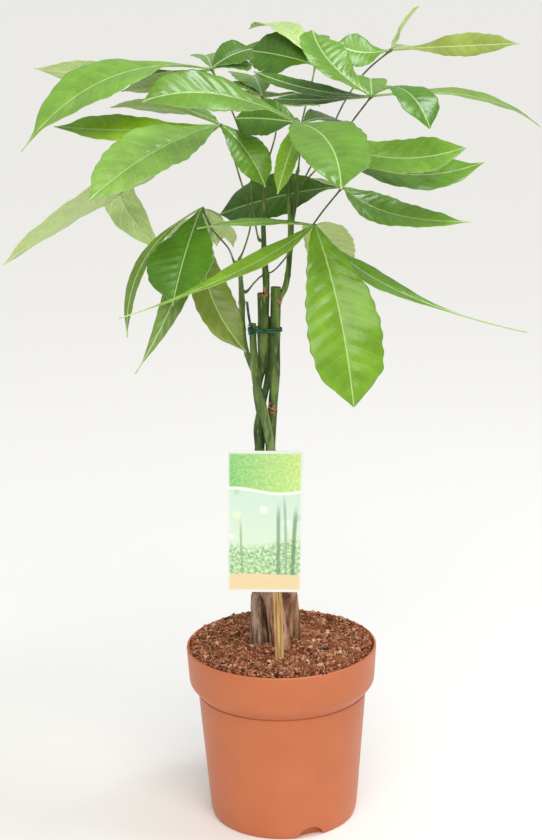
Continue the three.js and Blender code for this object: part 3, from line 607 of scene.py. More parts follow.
# %% Leaf tables, in millimetres
# A leaf is its stalk's points and its leaflets. A leaflet is (green, tip from hub, width, arch,
# roll, form): the form says how far the bend moves to the tip (pull) and sideways (sway), how
# slender the base is (taper) and where the blade is widest, where these differ from the usual one.
LEAVES = {
    "leaf_upper_left": ([(-12.75, 1.4, 523), (-16.3, 2, 538), (-18.9, -1, 560), (-19, -6, 582),
        (-25, -9, 607), (-31, -7, 626), (-50, 10, 666)], [
        ("bright", (-152, -70, -59), 54, 26, -22, {"taper": 1.8, "widest": 0.55}),
        ("pale", (-151, 22, 2), 30, -6, 45),
        ("deep", (-77, 12, -18), 30, -2, 30),
        ("mid", (-10, 98, 6), 28, 4, 0),
        ("dark", (34, 30, 14), 32, 3, 30),
        ("deep", (34, 22, 2), 26, 2, 30)]),
    "leaf_left": ([(-30.1, 0.8, 506.85), (-26, 1, 516), (-20, -2, 538), (-22.7, -4, 557),
        (-27.4, -6, 574), (-37, -11, 608), (-43, -15, 622)], [
        ("yellow", (-137, -5, 1), 36, -4, -30, {"taper": 1.2}),
        ("light", (-102, -90, -50), 58, 8, -24, {"taper": 0.85, "widest": 0.54}),
        ("mid", (-88, -36, -56), 36, -2, 26),
        ("pale", (-182, -25, -110), 48, 4, 32, {"taper": 1, "widest": 0.56}),
        ("pale", (-54, 14, -105), 31, 63, 50, {"pull": 0.22, "widest": 0.76}),
        ("mid", (36, -20, -50), 34, 5, 30, {"taper": 1, "widest": 0.55}),
        ("deep", (-92, 20, 14), 26, 6, 28),
        ("mid", (-62, 78, 6), 40, 6, 0)]),
    "leaf_front": ([(20.4, -1.4, 580.9), (21.5, -8, 590), (22.4, -22, 602), (23, -40, 623)], [
        ("mid", (-124, -58, 24), 44, 14, -40, {"pull": 0.1, "taper": 1.1}),
        # This blade lies under the one above it, and its deep green is partly painted shade.
        ("deep", (-54, 30, 3), 36, 2, -55, {"taper": 1}),
        ("fresh", (-20, -36, -52), 21, 7, 0, {"sway": -3, "taper": 0.8, "widest": 0.5}),
        ("mid", (28, -112, -40), 61, 9, 4, {"sway": -7, "taper": 0.6, "widest": 0.52}),
        ("bright", (131, -32, -18), 40, -17, 40, {"taper": 1.3, "widest": 0.68}),
        ("mid", (151, 8, -34), 46, -24, 30, {"taper": 1.1}),
        ("dark", (36, 60, -4), 30, 4, 20),
        ("mid", (-30, 88, -6), 32, 2, 0)]),
    "leaf_upper_right": ([(22.8, 0.8, 570), (39, 4, 585), (63.7, 0, 618), (81, -30, 644)], [
        ("mid", (-47, 42, 52), 42, -1, -10, {"sway": -12, "taper": 1}),
        ("deep", (42, -62, -22), 38, 18, 0, {"taper": 1.2, "widest": 0.68}),
        ("dusky", (140.9, 20, -29), 24, 14, 14, {"pull": 0.14, "taper": 0.8, "widest": 0.5}),
        ("mid", (2, 60, 10), 28, 4, 10, {"taper": 1}),
        ("dark", (-80, 60, -5), 16, -2, -30, {"taper": 1, "widest": 0.7}),
        ("dark", (-96, 60, 18), 18, -5, -30, {"taper": 1})]),
    "leaf_top_right": ([(20.45, 3.4, 563), (30, 14, 580), (46, 34, 604), (62, 50, 634), (80, 58, 658),
        (103, 60, 677)], [
        ("mid", (-50, -4, 6), 34, -5, -50),
        ("pale", (26, 26, 35.7), 28, 3, -40),
        ("olive", (103, -50, 5), 30, 0, 36),
        ("pale", (44, 84, -6), 36, 3, 0)]),
    "leaf_top": ([(12.6, 1.9, 580.85), (21, 16, 605), (27, 34, 627), (34, 58, 649), (38, 78, 664)], [
        ("dark", (-60, 34, 12), 46, 2, -48, {"taper": 0.9, "widest": 0.55}),
        ("pale", (-58, 66, 30), 34, 16, -2),
        ("dusky", (-66, 58, 13), 28, 2, -38),
        ("mid", (-8, 100, 18), 40, 8, 0),
        ("mid", (40, 70, 12), 36, 4, 0)]),
    "leaf_right": ([(18, 0.55, 524), (30, 5, 532), (42, 6, 547), (58, 0, 567)], [
        ("bright", (104, -32, -27), 36, -11, 34, {"pull": -0.18, "taper": 0.8, "widest": 0.42}),
        ("dark", (-106, 56, -29), 44, 4, -60, {"taper": 1.1}),
        ("mid", (20, 100, 10), 38, 6, 0),
        ("dark", (-32, 60, -18), 30, 8, 16)]),
    "leaf_hanging": ([(-24.9, 0.9, 479), (-18, 5, 486), (-11.3, 8, 491.5), (-2.7, 6, 495), (6, -5, 505),
        (18, -20, 523), (33, -40, 541)], [
        ("bright", (-97, 4, -2), 20, 3, -10, {"taper": 1.2, "widest": 0.45}),
        ("fresh", (-155, -98, -57), 26, -8, -10, {"pull": -0.14, "taper": 0.9, "widest": 0.32}),
        ("lush", (28, -74, -137), 65, 12, 0, {"taper": 0.85, "widest": 0.66}),
        ("olive", (14, 38, -60), 46, 18, 0, {"taper": 0.6, "widest": 0.5}),
        ("mid", (177, 4, -94), 26, -18, 30, {"pull": -0.2, "taper": 4, "widest": 0.42})]),
    "leaf_low_left": ([(-33.8, -0.9, 504.2), (-39, -4, 517), (-52.6, -8, 535), (-60.5, -10, 553)], [
        ("deep", (-24, -50, -74), 62, 4, 4),
        ("dusky", (-65, -18, -106), 14, 20, -34, {"taper": 1.6}),
        ("olive", (10, 56, -41), 26, 6, 0),
        ("olive", (25, 28, -38), 20, 4, 0),
        # This blade's moss green is painted shade: the look of a shaded under face, laid on its upper face.
        ("moss", (35, -30, -118), 36, -20, 28),
        ("dusky", (-58, -35, -134), 22, -8, -50, {"widest": 0.45}),
        ("deep", (-24, 76, -56), 38, 0, 8)]),
    "leaf_back": ([(-8.2, 1.5, 578.85), (-3, 20, 592), (3, 70, 616), (-9, 112, 635)], [
        ("mid", (-48, 70, 5), 42, 6, 0),
        ("mid", (-14, 112, 9), 46, 10, 0),
        ("mid", (34, 104, -8), 42, 2, 0),
        ("pale", (-74, 34, -8), 40, 6, -8),
        ("mid", (52, 64, -10), 36, -5, 8)]),
}

# %% Blade sizes, in millimetres or as shares of the blade's length or width
USUAL_FORM = {"pull": 0, "sway": 0, "taper": 1.4, "widest": 0.62}
POINT_SHARE = 0.16
FOLD = math.radians(14)
BASE_OFFSET = 1.2
BLADE_THICK, MARGIN_THICK = 0.5, 0.34
SIDE_VEINS, VEIN_SWEEP, RIB_SIDE = 12, 0.10, 0.08
WAVE, FRILL, QUILT, SCALLOP = 0.035, 0.012, 0.015, 0.022
FULL_RELIEF_HALF_WIDTH = 6
TOP_RIB_HEIGHT, TOP_RIB_REACH = 0.3, 0.7
UNDER_RIB_HEIGHTS, UNDER_RIB_REACH = (0.95, 0.25), 0.8
ACROSS = np.array([0, 0.02, 0.045, 0.08, 0.14, 0.22, 0.32, 0.43, 0.55, 0.67, 0.78, 0.88, 0.95, 1.0])
ACROSS = np.concatenate([-ACROSS[:0:-1], ACROSS])


def blade_outline(t, taper, widest):
    """Half-width along the midrib, as a share of its widest: its end draws out to a point."""
    left = np.maximum(1 - t, 0)
    fall = taper * (1 - widest) / widest
    peak = widest**taper * (1 - widest) ** fall
    return t**taper * left**fall / peak * np.sqrt(np.minimum(1, left / POINT_SHARE))


# %% One blade
def blade(hub, leaflet, seed):
    """Upper and under corners (rows, columns, 3) in mm, (vein phase, across, along), and length."""
    _, tip_from_hub, width, arch, roll, *own_form = leaflet
    form = {**USUAL_FORM, **(own_form[0] if own_form else {})}
    reach = np.array(tip_from_hub, float)
    length = np.linalg.norm(reach)
    chord = reach / length
    right = unit(np.array([chord[1], -chord[0], 0]))
    up = unit(np.cross(right, chord))
    middle = hub + reach * (0.5 + form["pull"]) + up * 2 * arch + right * 2 * form["sway"]
    rows = int(np.clip(length / 2.0, 30, 92))
    t = np.linspace(BASE_OFFSET / length, 1, rows)[:, None]
    rib = bent(hub, middle, hub + reach, t)
    ahead = unit((1 - t) * (middle - hub) + t * (hub + reach - middle))
    level = unit(np.cross(ahead, up))
    normal = np.cross(level, ahead)
    turn = math.radians(roll) * (0.3 + 0.7 * smoothstep(0, 0.45, t))
    side = level * np.cos(turn) - normal * np.sin(turn)
    face = normal * np.cos(turn) + level * np.sin(turn)

    u = ACROSS[None, :]
    out = np.abs(u)
    half = np.maximum(0.5 * width * blade_outline(t, form["taper"], form["widest"]), 1.1 - 0.65 * t)
    phase = SIDE_VEINS * (t - VEIN_SWEEP * out**1.25) + 0.22 * np.clip(u / RIB_SIDE, -1, 1)
    between_veins = np.cos(2 * math.pi * phase)
    across = half * u * (1 - SCALLOP * between_veins * out**4)
    relief = width * np.minimum(1, half / FULL_RELIEF_HALF_WIDTH)
    lift = half * out * math.sin(FOLD) * (1 - 0.45 * out)
    lift += WAVE * relief * u * u * np.sin(9 * t + seed + np.where(u > 0, 2.0, 0.0))
    lift += FRILL * relief * out**3 * np.sin(31 * t + 2.3 * seed + np.where(u > 0, 1.3, 0.0))
    lift += QUILT * relief * (0.5 - 0.5 * between_veins) * np.minimum(1, out / 0.2) * (1 - u**4)
    under_height = UNDER_RIB_HEIGHTS[0] + (UNDER_RIB_HEIGHTS[1] - UNDER_RIB_HEIGHTS[0]) * t
    top_rib = TOP_RIB_HEIGHT * np.exp(-(across / TOP_RIB_REACH) ** 2)
    under_rib = under_height * np.exp(-(across / UNDER_RIB_REACH) ** 2)
    thick = BLADE_THICK + (MARGIN_THICK - BLADE_THICK) * u**2
    spine = rib[:, None, :] + side[:, None, :] * (across * math.cos(FOLD))[..., None]
    upper = spine + face[:, None, :] * (lift + top_rib + thick / 2)[..., None]
    under = spine + face[:, None, :] * (lift - under_rib - thick / 2)[..., None]
    along = np.broadcast_to(t * length, phase.shape)
    return upper, under, np.stack([phase, across, along], -1), length


def blade_faces(rows, columns, first):
    """Triangles of both faces and of the margin round them, with 0 for upper and 1 for under."""
    faces, slots = [], []
    below = rows * columns
    for i in range(rows - 1):
        for k in range(columns - 1):
            a = first + i * columns + k
            b, c, d = a + 1, a + 1 + columns, a + columns
            faces += [(a, b, c), (a, c, d)]
            faces += [(a + below, c + below, b + below), (a + below, d + below, c + below)]
            slots += [0, 0, 1, 1]
    rim = [first + i * columns for i in range(rows)]
    rim += [first + (rows - 1) * columns + k for k in range(1, columns)]
    rim += [first + i * columns + columns - 1 for i in range(rows - 2, -1, -1)]
    rim += [first + k for k in range(columns - 2, 0, -1)]
    for a, b in zip(rim, rim[1:] + rim[:1]):
        faces += [(a, b, b + below), (a, b + below, a + below)]
        slots += [1, 1]
    return faces, slots


# %% [markdown]
# The upper face has a waxy skin: smooth, a little glossy, its green deepened between the veins.
# The under face is paler and dull, with the rib and veins standing out. No two leaflets have the
# same green: young ones are yellower and old ones darker. The dark greens of blades inside the
# crown and under others are partly painted shade, and the bright greens of the most lit blades
# partly painted light. So each blade carries a green of its own, and tells both materials where a
# corner lies: between which side veins, and how far from the midrib and along it in millimetres.
# Side veins are drawn nearly 1 mm wide, because lines as fine as a real leaf's would vanish at
# this distance.

# %% Greens
# Painted light and shade: the dark and deep greens are partly the shade on blades inside the crown and under
# others, the bright and light greens partly the light on the most lit blades, and the pale green partly light
# shining through under faces.
GREENS = {
    "dark": "#446C14", "deep": "#4C7A14", "mid": "#638F26", "bright": "#739F38", "fresh": "#76A020",
    "yellow": "#7FA61E", "olive": "#8A9A42", "dusky": "#70903A", "pale": "#ABC57A",
    "light": "#86B04E", "lush": "#6E9A1E", "moss": "#768832",
}


# %% Material: leaf faces
def leaf_skin(name, paleness, roughness, vein_share, net_share):
    """Skin over each blade's green, partly painted shade and light, mixed with a pale grey-green by a share
    for the under face.
    """
    material, shader, add = new_material(name, roughness, 1.5)
    own, veins, leaflet = (
        add("Attribute", attribute_name=label) for label in ("green_light_and_shade", "veins", "leaflet"))
    where = add("SeparateXYZ", veins.outputs["Vector"]).outputs
    sizes = add("SeparateXYZ", leaflet.outputs["Vector"]).outputs
    on_blade = add("CombineXYZ", where["Y"], where["Z"], sizes["Y"])

    clouds = add("TexNoise", Vector=on_blade, Scale=1 / 26, Detail=4.0, Roughness=0.6)
    light = add("MapRange", clouds, 0.3, 0.7, 0.78, 1.16)
    lit = add("VectorMath", own.outputs["Color"], light, operation="SCALE")
    ground = add("Mix", paleness, lit, "#CBDD9A", **RGBA)

    swing = add("Math", where["X"], 0.5, operation="PINGPONG")
    from_vein = add("Math", swing, sizes["X"], operation="MULTIPLY")
    vein_line = add("MapRange", from_vein, 0.1, 0.9, vein_share, 0.0, **SMOOTH)
    net = add("TexVoronoi", Vector=on_blade, Scale=1 / 2.5, feature="DISTANCE_TO_EDGE")
    net_line = add("MapRange", net, 0.0, 0.14, net_share, 0.0)
    lines = add("Math", vein_line, net_line, operation="MAXIMUM")
    lighter = add("VectorMath", ground, 1.6, operation="SCALE")
    veined = add("Mix", lines, ground, lighter, **RGBA)
    from_rib = add("Math", where["Y"], operation="ABSOLUTE")
    ribbed = painted(add, veined, "#CFE3A4", from_rib, 0.8, 0.25, 0.62)

    wax = add("MapRange", clouds, 0.3, 0.7, roughness - 0.08, roughness + 0.1)
    cells = add("Math", net, vein_line, operation="SUBTRACT")
    bump = add("Bump", Strength=0.3, Distance=0.3 * MM, Height=cells)
    feed(shader, Base_Color=ribbed, Roughness=wax, Normal=bump)
    return material


UPPER_FACE = leaf_skin("leaf_upper_face_waxy", 0.0, 0.27, 0.4, 0.2)
UNDER_FACE = leaf_skin("leaf_under_face_dull", 0.6, 0.6, 0.45, 0.3)
# A stalk is smooth and olive with darker streaks, so it stays quiet beside the blades.
STALK = grained(
    "leaf_stalk_smooth", 0.45, 1.46, (9, 2.0, 0.5), {0.3: "#3C4A20", 0.55: "#5F7436", 0.75: "#8C9A5C"})


# %% Leaves
STALK_RADIUS = 0.74
SHOOT_JOINT, HUB_JOINT = 4.5, 3.5
ROOTING = 0.6
WAVE_SHIFT, CLOUD_SHIFT = 1.7, 10.0


def stalk_radii(path):
    """Stalk thickness in mm: a swollen joint at the shoot and a slighter one at the hub."""
    from_shoot = np.concatenate([[0], np.cumsum(np.linalg.norm(np.diff(path, axis=0), axis=1))])
    from_hub = from_shoot[-1] - from_shoot
    return STALK_RADIUS + np.exp(-((from_shoot / SHOOT_JOINT) ** 2)) + np.exp(-((from_hub / HUB_JOINT) ** 2))


def rooted(petiole):
    """The stalk's points in mm, with one more before them inside the wood that it grows from."""
    foot = np.array(petiole[0], float)
    middles = np.concatenate(wood)
    nearest = middles[np.argmin(np.linalg.norm(middles - foot, axis=1))]
    return [foot + ROOTING * (nearest - foot), *petiole]


def joined(main, other):
    """Joins another piece's mesh into the main one, keeping slots and attributes."""
    both = [main, other]
    with bpy.context.temp_override(
            active_object=main, object=main, selected_objects=both, selected_editable_objects=both):
        bpy.ops.object.join()
    return main


def leaf(name, petiole, leaflets, first_seed):
    """One compound leaf as one mesh: its blades, and its stalk swept by the tree."""
    hub = np.array(petiole[-1], float)
    corners, faces, slots, veins, sizes, greens = [], [], [], [], [], []
    for index, leaflet in enumerate(leaflets):
        upper, under, vein, length = blade(hub, leaflet, WAVE_SHIFT * index)
        more, sides = blade_faces(*upper.shape[:2], sum(map(len, corners)))
        faces += more
        slots += sides
        corners += [upper.reshape(-1, 3), under.reshape(-1, 3)]
        veins += [vein.reshape(-1, 3)] * 2
        both = 2 * len(corners[-1])
        sizes.append(np.tile((length / SIDE_VEINS, CLOUD_SHIFT * (first_seed + index), 0), (both, 1)))
        greens.append(np.tile(colour(GREENS[leaflet[0]]), (both, 1)))
    blades = mesh_object(name + "_blades", np.concatenate(corners) * MM, faces,
                         [UPPER_FACE, UNDER_FACE, STALK], slots)
    for label, kind, field, values in (
            ("veins", "FLOAT_VECTOR", "vector", veins), ("leaflet", "FLOAT_VECTOR", "vector", sizes),
            ("green_light_and_shade", "FLOAT_COLOR", "color", greens)):
        attribute = blades.data.attributes.new(label, kind, "POINT")
        attribute.data.foreach_set(field, np.concatenate(values).ravel())
    path = smooth_path(rooted(petiole), SHOOT_STEP)
    stalk = with_tree(path_object(name + "_stalk", [(path, stalk_radii(path))]), SWEEP,
                      sides=10, relief=0.0, material=STALK)
    return joined(blades, stalk)


seed = 1
for name, (petiole, leaflets) in LEAVES.items():
    stand_for(leaf(name, petiole, leaflets, seed), "leaf_green", name)
    seed += len(leaflets)

# %% [markdown]
# The pot is filled with coir and peat: red-brown crumbs and clods from 1 to 7 mm across, with
# paler fibres and a few black bits. A displaced surface alone looks like cloth, and loose crumbs
# alone leave holes, so a lumpy surface lies under a scatter of both. Geometry Nodes spread them,
# because they follow the surface and a seed keeps them the same in every run.

# %% Soil surface
SOIL_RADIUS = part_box("soil")[1].x
SOIL_EDGE = 158.5 * MM
SOIL_DOME, DOME_RADIUS = 4.0, 83.0
LUMP_HEIGHT, LUMP_LENGTH = 1.5, 33.0
HEAP_HEIGHT = 2.6
GAP = 0.5 * MM
SOIL_RINGS, SOIL_SEGMENTS = 60, 160


def soil_lift(x, y):
    """Height in mm over the soil's edge: a low dome with waves, as the solid has, heaped at the back."""
    share = np.hypot(x, y) / DOME_RADIUS
    across, deep = (2 * math.pi * place / LUMP_LENGTH for place in (x, y))
    lumps = np.sin(across + 0.8) * np.cos(0.84 * deep) + 0.7 * np.sin(1.95 * across - 1.5 * deep + 2)
    heap = HEAP_HEIGHT * np.exp(-(((share - 0.84) / 0.2) ** 2)) * smoothstep(0, 60, y)
    return SOIL_DOME * (1 - share**2) + LUMP_HEIGHT * lumps * (1 - share**6) + heap


def soil_surface(material):
    """The filling as a closed plug: a fine lumpy top over a plain body that the pot hides."""
    outline = [
        (0, FLOOR + GAP), (FOOT[0] - GAP, FLOOR + GAP), (WALL_BOTTOM_RADIUS - WALL - GAP, FOOT[1] + 1.5 * MM),
        (WALL_TOP[0] - WALL - GAP, WALL_TOP[1] + GAP), (BAND_BOTTOM[0] - WALL - GAP, BAND_BOTTOM[1] + GAP)]
    outline += [(SOIL_RADIUS * share, SOIL_EDGE) for share in np.linspace(1, 0, SOIL_RINGS + 1)]
    corners, faces = lathe(outline, SOIL_SEGMENTS)
    top = corners[:, 2] > SOIL_EDGE - MM
    x, y = corners[top, :2].T / MM
    inside = 1 - (np.hypot(x, y) / (SOIL_RADIUS / MM)) ** 12
    clods = 0.9 * np.sin(0.9 * x + 0.5 * y) * np.sin(0.7 * y - 0.4 * x)
    grit = 0.5 * np.sin(2.1 * x) * np.cos(1.9 * y)
    corners[top, 2] += (soil_lift(x, y) + clods + grit) * inside * MM
    return welded(mesh_object("coir_soil", corners, faces, [material]))


# %% Where loose coir lies
LIP_REACH = (82.0, 84.0)
BED_RINGS = 40


def coir_bed(name):
    """Open sheet over the soil and the pot's lip, whose corners say how much loose coir they hold."""
    outline = [(0.97 * SOIL_RADIUS * share, 0.0) for share in np.linspace(0, 1, BED_RINGS + 1)]
    corners, faces = lathe(outline + [(radius * MM, 0.0) for radius in LIP_REACH], SOIL_SEGMENTS)
    x, y = corners[:, :2].T / MM
    radius = np.hypot(x, y)
    on_soil = radius < 0.98 * SOIL_RADIUS / MM
    corners[:, 2] = np.where(on_soil, SOIL_EDGE + (soil_lift(x, y) + 0.6) * MM, POT_HEIGHT)
    angle = np.arctan2(y, x)
    spilt = np.maximum(0, np.sin(3 * angle + 1) * np.sin(7 * angle) + 0.15 + 0.5 * np.sin(angle)) * 0.7
    cover = np.where(on_soil, 1.0, np.where(radius < LIP_REACH[0] + 0.5, spilt, 0.35 * spilt))
    bed = mesh_object(name, corners, faces)
    bed.data.attributes.new("cover", "FLOAT", "POINT").data.foreach_set("value", cover)
    return bed


# %% [markdown]
# Coir dust, sieved and pressed: matt and red-brown. Its colour follows the same noise as its bump,
# so it is painted nearly black in the hollows as shade and tan on the tops, partly as light. Each
# loose crumb also carries a number of its own, which picks its brown.

# %% Materials: coir
# Painted shade: the ramp's nearly black end falls in the bump's hollows, and its tan end on the tops.
COIR_DUST = grained("coir_dust_pressed", 0.95, 1.46, (2.6, 5.0, 0.7),
                    {0.38: "#341A10", 0.52: "#8A4C30", 0.66: "#C4825A"}, relief=(0.9, 1.2))


def coir_pieces(name, *browns):
    """Loose bits: each has one brown by its own number, mottled by a grain of about 1 mm."""
    material, shader, add = new_material(name, 0.92)
    own = add("Attribute", attribute_name="own_tone").outputs["Fac"]
    place = add("TexCoord").outputs["Object"]
    grain = add("TexNoise", Vector=place, Scale=1 / (1.1 * MM), Detail=3.0)
    mottled = add("Math", grain, 0.5, own, operation="MULTIPLY_ADD")
    shifted = add("Math", mottled, 0.25, operation="SUBTRACT")
    tone = add("ValToRGB", shifted, stops=dict(zip(np.linspace(0, 1, len(browns)), browns)))
    bump = add("Bump", Strength=0.6, Distance=0.5 * MM, Height=grain)
    feed(shader, Base_Color=tone, Normal=bump)
    return material


CRUMB_SKIN = coir_pieces(
    "coir_crumb_broken", "#1E0F0A", "#6E3822", "#9A5638", "#7C4029", "#BE7C56", "#A66444", "#E0B68C")
FIBRE_SKIN = coir_pieces("coir_fibre_combed", "#8A5233", "#C08C60", "#E6C8A0", "#A66A44")


# %% Geometry Nodes: scatter crumbs or fibres over the soil
def scatter_tree():
    tree, given, add = new_geometry_tree(
        "scatter on the soil", density=("Float", 100.0), smallest=("Float", 0.6 * MM),
        largest=("Float", 2.0 * MM), slimness=("Float", 0.6), flatness=("Float", 3.1),
        fibre=("Bool", False), seed=("Int", 0), material=("Material", None))
    cover = add("InputNamedAttribute", Name="cover", data_type="FLOAT")
    density = add("Math", cover, given["density"], operation="MULTIPLY")
    spread = add(
        "DistributePointsOnFaces", Mesh=given["Geometry"], Density=density, Seed=given["seed"],
        distribute_method="RANDOM")
    crumb = add("MeshIcoSphere", Radius=1.0, Subdivisions=1)
    place = add("InputPosition")
    knobbly = add("TexNoise", Vector=place, Scale=1.3)
    knobs = add("MapRange", knobbly, To_Min=-0.45, To_Max=0.45)
    knobbed = add("VectorMath", place, knobs, operation="SCALE")
    chip = add("SetPosition", Geometry=crumb, Offset=knobbed)
    bend = add("CurveQuadraticBezier", Resolution=6, Start=(-1, 0, 0), Middle=(0, 0.7, 0.25), End=(1, 0, 0.1))
    strand = add("CurvePrimitiveCircle", Resolution=4, Radius=0.055)
    fibre = add("CurveToMesh", Curve=bend, Profile_Curve=strand, Fill_Caps=True)
    kind = add("Switch", given["fibre"], chip, fibre, input_type="GEOMETRY")
    most = add("CombineXYZ", given["flatness"], given["flatness"], 2 * math.pi)
    turns = add("RandomValue", (0, 0, 0), most, Seed=given["seed"], data_type="FLOAT_VECTOR")
    size, slim, flat, tone = (
        add("RandomValue", low, high, Seed=own_seed, data_type="FLOAT")
        for low, high, own_seed in ((given["smallest"], given["largest"], 11), (given["slimness"], 1.0, 12),
                                    (given["slimness"], 1.0, 14), (0.0, 1.0, 13)))
    shape = add("CombineXYZ", 1.0, slim, flat)
    scale = add("VectorMath", shape, size, operation="SCALE")
    placed = add("InstanceOnPoints", Points=spread, Instance=kind, Rotation=turns, Scale=scale)
    toned = add(
        "StoreNamedAttribute", Geometry=placed, Name="own_tone", Value=tone, data_type="FLOAT",
        domain="INSTANCE")
    finish_tree(add, toned, given["material"])
    return tree


SCATTER = scatter_tree()


def scattered(name, reach, **values):
    """The coir bed out to a radius in mm, turned by the scatter tree into its crumbs or fibres."""
    piece = coir_bed(name)
    for corner, share in zip(piece.data.vertices, piece.data.attributes["cover"].data):
        if corner.co.xy.length > reach * MM:
            share.value = 0
    with_tree(piece, SCATTER, **values)
    piece.data.shade_flat()
    return piece


# %% Soil
soil = soil_surface(COIR_DUST)
clods = scattered("coir_clods", 80, density=3.2e4, smallest=1.5 * MM, largest=3.6 * MM, slimness=0.35,
                  flatness=6.2, fibre=False, seed=2, material=CRUMB_SKIN)
crumbs = scattered("coir_crumbs", 85, density=3.9e5, smallest=0.5 * MM, largest=1.5 * MM, slimness=0.3,
                   flatness=6.2, fibre=False, seed=3, material=CRUMB_SKIN)
fibres = scattered("coir_fibres", 76, density=5.5e4, smallest=1.5 * MM, largest=5 * MM, slimness=0.7,
                   flatness=0.6, fibre=True, seed=5, material=FIBRE_SKIN)
for piece in (soil, clods, crumbs, fibres):
    stand_for(piece, "coir_soil", "soil")

# %% [markdown]
# The tie is garden wire in a green plastic skin, wound round the stem tops, knotted on the left
# and twisted off. Two wires wound about one line make the twist, the wire's end makes five turns
# round its foot, and the sweep tree gives all of them their round skin.

# %% Tie
WIRE_RADIUS, WIRE_SLACK, WIRE_WAVE = 0.62, 0.35, 0.35
TIE_LOW, TIE_HIGH = 444.7, 448.0
TIE_TURNS, TIE_START = 3, math.radians(215)
KNOT_FOOT, KNOT_RADIUS, KNOT_TURNS, KNOT_HEIGHT = (-21.9, -8.6, TIE_LOW - 1.5), 1.7, 5, 9.5
TWIST_LINE = [(-20.9, -8, 444), (-21.8, -8.4, 451), (-23.4, -8.8, 462), (-24.3, -9, 472)]
TWIST_TURN, TWIST_STEP, TWIST_REACH = 4.0, 0.5, 0.66


def wound_wire():
    """Points in mm of a wire drawn tight round the four strands, three turns one over another."""
    strands = []
    for path, radii in map(strand_path, STRANDS):
        nearest = np.argmin(np.abs(path[:, 2] - 0.5 * (TIE_LOW + TIE_HIGH)))
        strands.append((path[nearest, :2], radii[nearest]))
    points = []
    for turned in np.linspace(0, TIE_TURNS, 72 * TIE_TURNS):
        angle = 2 * math.pi * turned + TIE_START
        out = around(angle, 1, 0)[:2]
        place, radius = max(strands, key=lambda strand: strand[0] @ out + strand[1])
        height = TIE_LOW + (TIE_HIGH - TIE_LOW) * turned / TIE_TURNS + WIRE_WAVE * math.sin(2.6 * angle)
        points.append([*(place + out * (radius + WIRE_RADIUS + WIRE_SLACK)), height])
    return np.array(points)


def twisted_pair():
    """Two wires wound round the twist's line."""
    line = smooth_path(TWIST_LINE, TWIST_STEP)
    turned = np.arange(len(line)) * TWIST_STEP / TWIST_TURN
    return [line + around(2 * math.pi * turned + start, TWIST_REACH, 0) for start in (0, math.pi)]


def knot():
    """The wire's end wound round the foot of the twist."""
    turned = np.linspace(0, KNOT_TURNS, 24 * KNOT_TURNS)
    angle = 2 * math.pi * turned
    reach = KNOT_RADIUS + 0.25 * np.sin(3.1 * angle)
    return around(angle, reach, KNOT_HEIGHT * turned / KNOT_TURNS) + KNOT_FOOT


# Iron wire dipped in soft PVC: an even green skin with a dull shine and faint rubbing.
COATED_WIRE = grained("pvc_wire_dipped_green", 0.38, 1.53, (4, 3.0, 0.5), {0.35: "#0A2E24", 0.65: "#1E7354"})
tie_wires = [wound_wire(), *twisted_pair(), knot()]
tie_paths = [(wire, np.full(len(wire), WIRE_RADIUS)) for wire in tie_wires]
tie = with_tree(path_object("wire_tie_twist", tie_paths), SWEEP, sides=8, relief=0.0, material=COATED_WIRE)
stand_for(tie, "tie_wire", "wire_tie")

# %% [markdown]
# The stick is a split of bamboo: flat, with square arrises dulled by hand and two splits along
# the grain. The card is a plastic plate with rounded corners, printed on its front.

# %% Stick
STICK_WIDTH, STICK_THICK, STICK_LENGTH = 7.5 * MM, 2.8 * MM, 182 * MM
STICK_FOOT, STICK_LEAN = (-1 * MM, -43.9 * MM, 118 * MM), 0.9
ARRIS, SPLIT_DEPTH, SPLIT_HALF, SPLIT_PLACES = 0.5 * MM, 0.45 * MM, 0.3 * MM, (-1.3 * MM, 1.2 * MM)
# Dried bamboo has straight fibres, tan with brown splits, which say that it is one grass stem.
SPLIT_BAMBOO = grained("bamboo_split_dried", 0.62, 1.46, (0.8, 4.0, 0.5), {0.36: "#9C7440", 0.62: "#DDB878"},
                       stretch=0.03, relief=(0.5, 0.3))


def prism(name, outline, length, materials):
    """An outline in X and Y drawn up along Z as a closed bar."""
    n = len(outline)
    corners = [(x, y, z) for z in (0, length) for x, y in outline]
    faces = [tuple(range(n - 1, -1, -1)), tuple(range(n, 2 * n))]
    faces += [(k, (k + 1) % n, (k + 1) % n + n, k + n) for k in range(n)]
    return mesh_object(name, corners, faces, materials)


half_wide, front = STICK_WIDTH / 2, -STICK_THICK / 2
stick_outline = [(half_wide, front, ARRIS), (half_wide, -front, ARRIS),
                 (-half_wide, -front, ARRIS), (-half_wide, front, ARRIS)]
for middle in SPLIT_PLACES:
    stick_outline += [(middle - SPLIT_HALF, front, 0), (middle, front + SPLIT_DEPTH, 0),
                      (middle + SPLIT_HALF, front, 0)]
stick = prism("bamboo_stick", rounded(stick_outline), STICK_LENGTH, [SPLIT_BAMBOO])
stick.data.transform(Matrix.Translation(STICK_FOOT) @ Matrix.Rotation(math.radians(-STICK_LEAN), 4, "Y"))
welded(stick)
stick.data.set_sharp_from_angle(angle=math.radians(30))
stand_for(stick, "bamboo", "label_stick")

# %% [markdown]
# The card's print is plain decoration of its own: a green band, a pale field with soft grass stems
# and a cream foot. It needs no picture file: the distances along and across the card come from its
# UV map, an edge is where the height passes a curve of the width, and a stem is where the width
# passes a curve of the height. Only the front is printed. The back and the edges are bare sheet.

# %% Card materials
CARD_TOP, CARD_BOTTOM, CARD_HEIGHT = 65.5 * MM, 62.5 * MM, 126 * MM
# Polypropylene sheet is milky white, and smooth with a faint clouding.
BARE_SHEET = grained(
    "polypropylene_sheet_white", 0.35, 1.49, (18, 2.0, 0.5), {0.3: "#DCDFD8", 0.7: "#E6E8E2"})


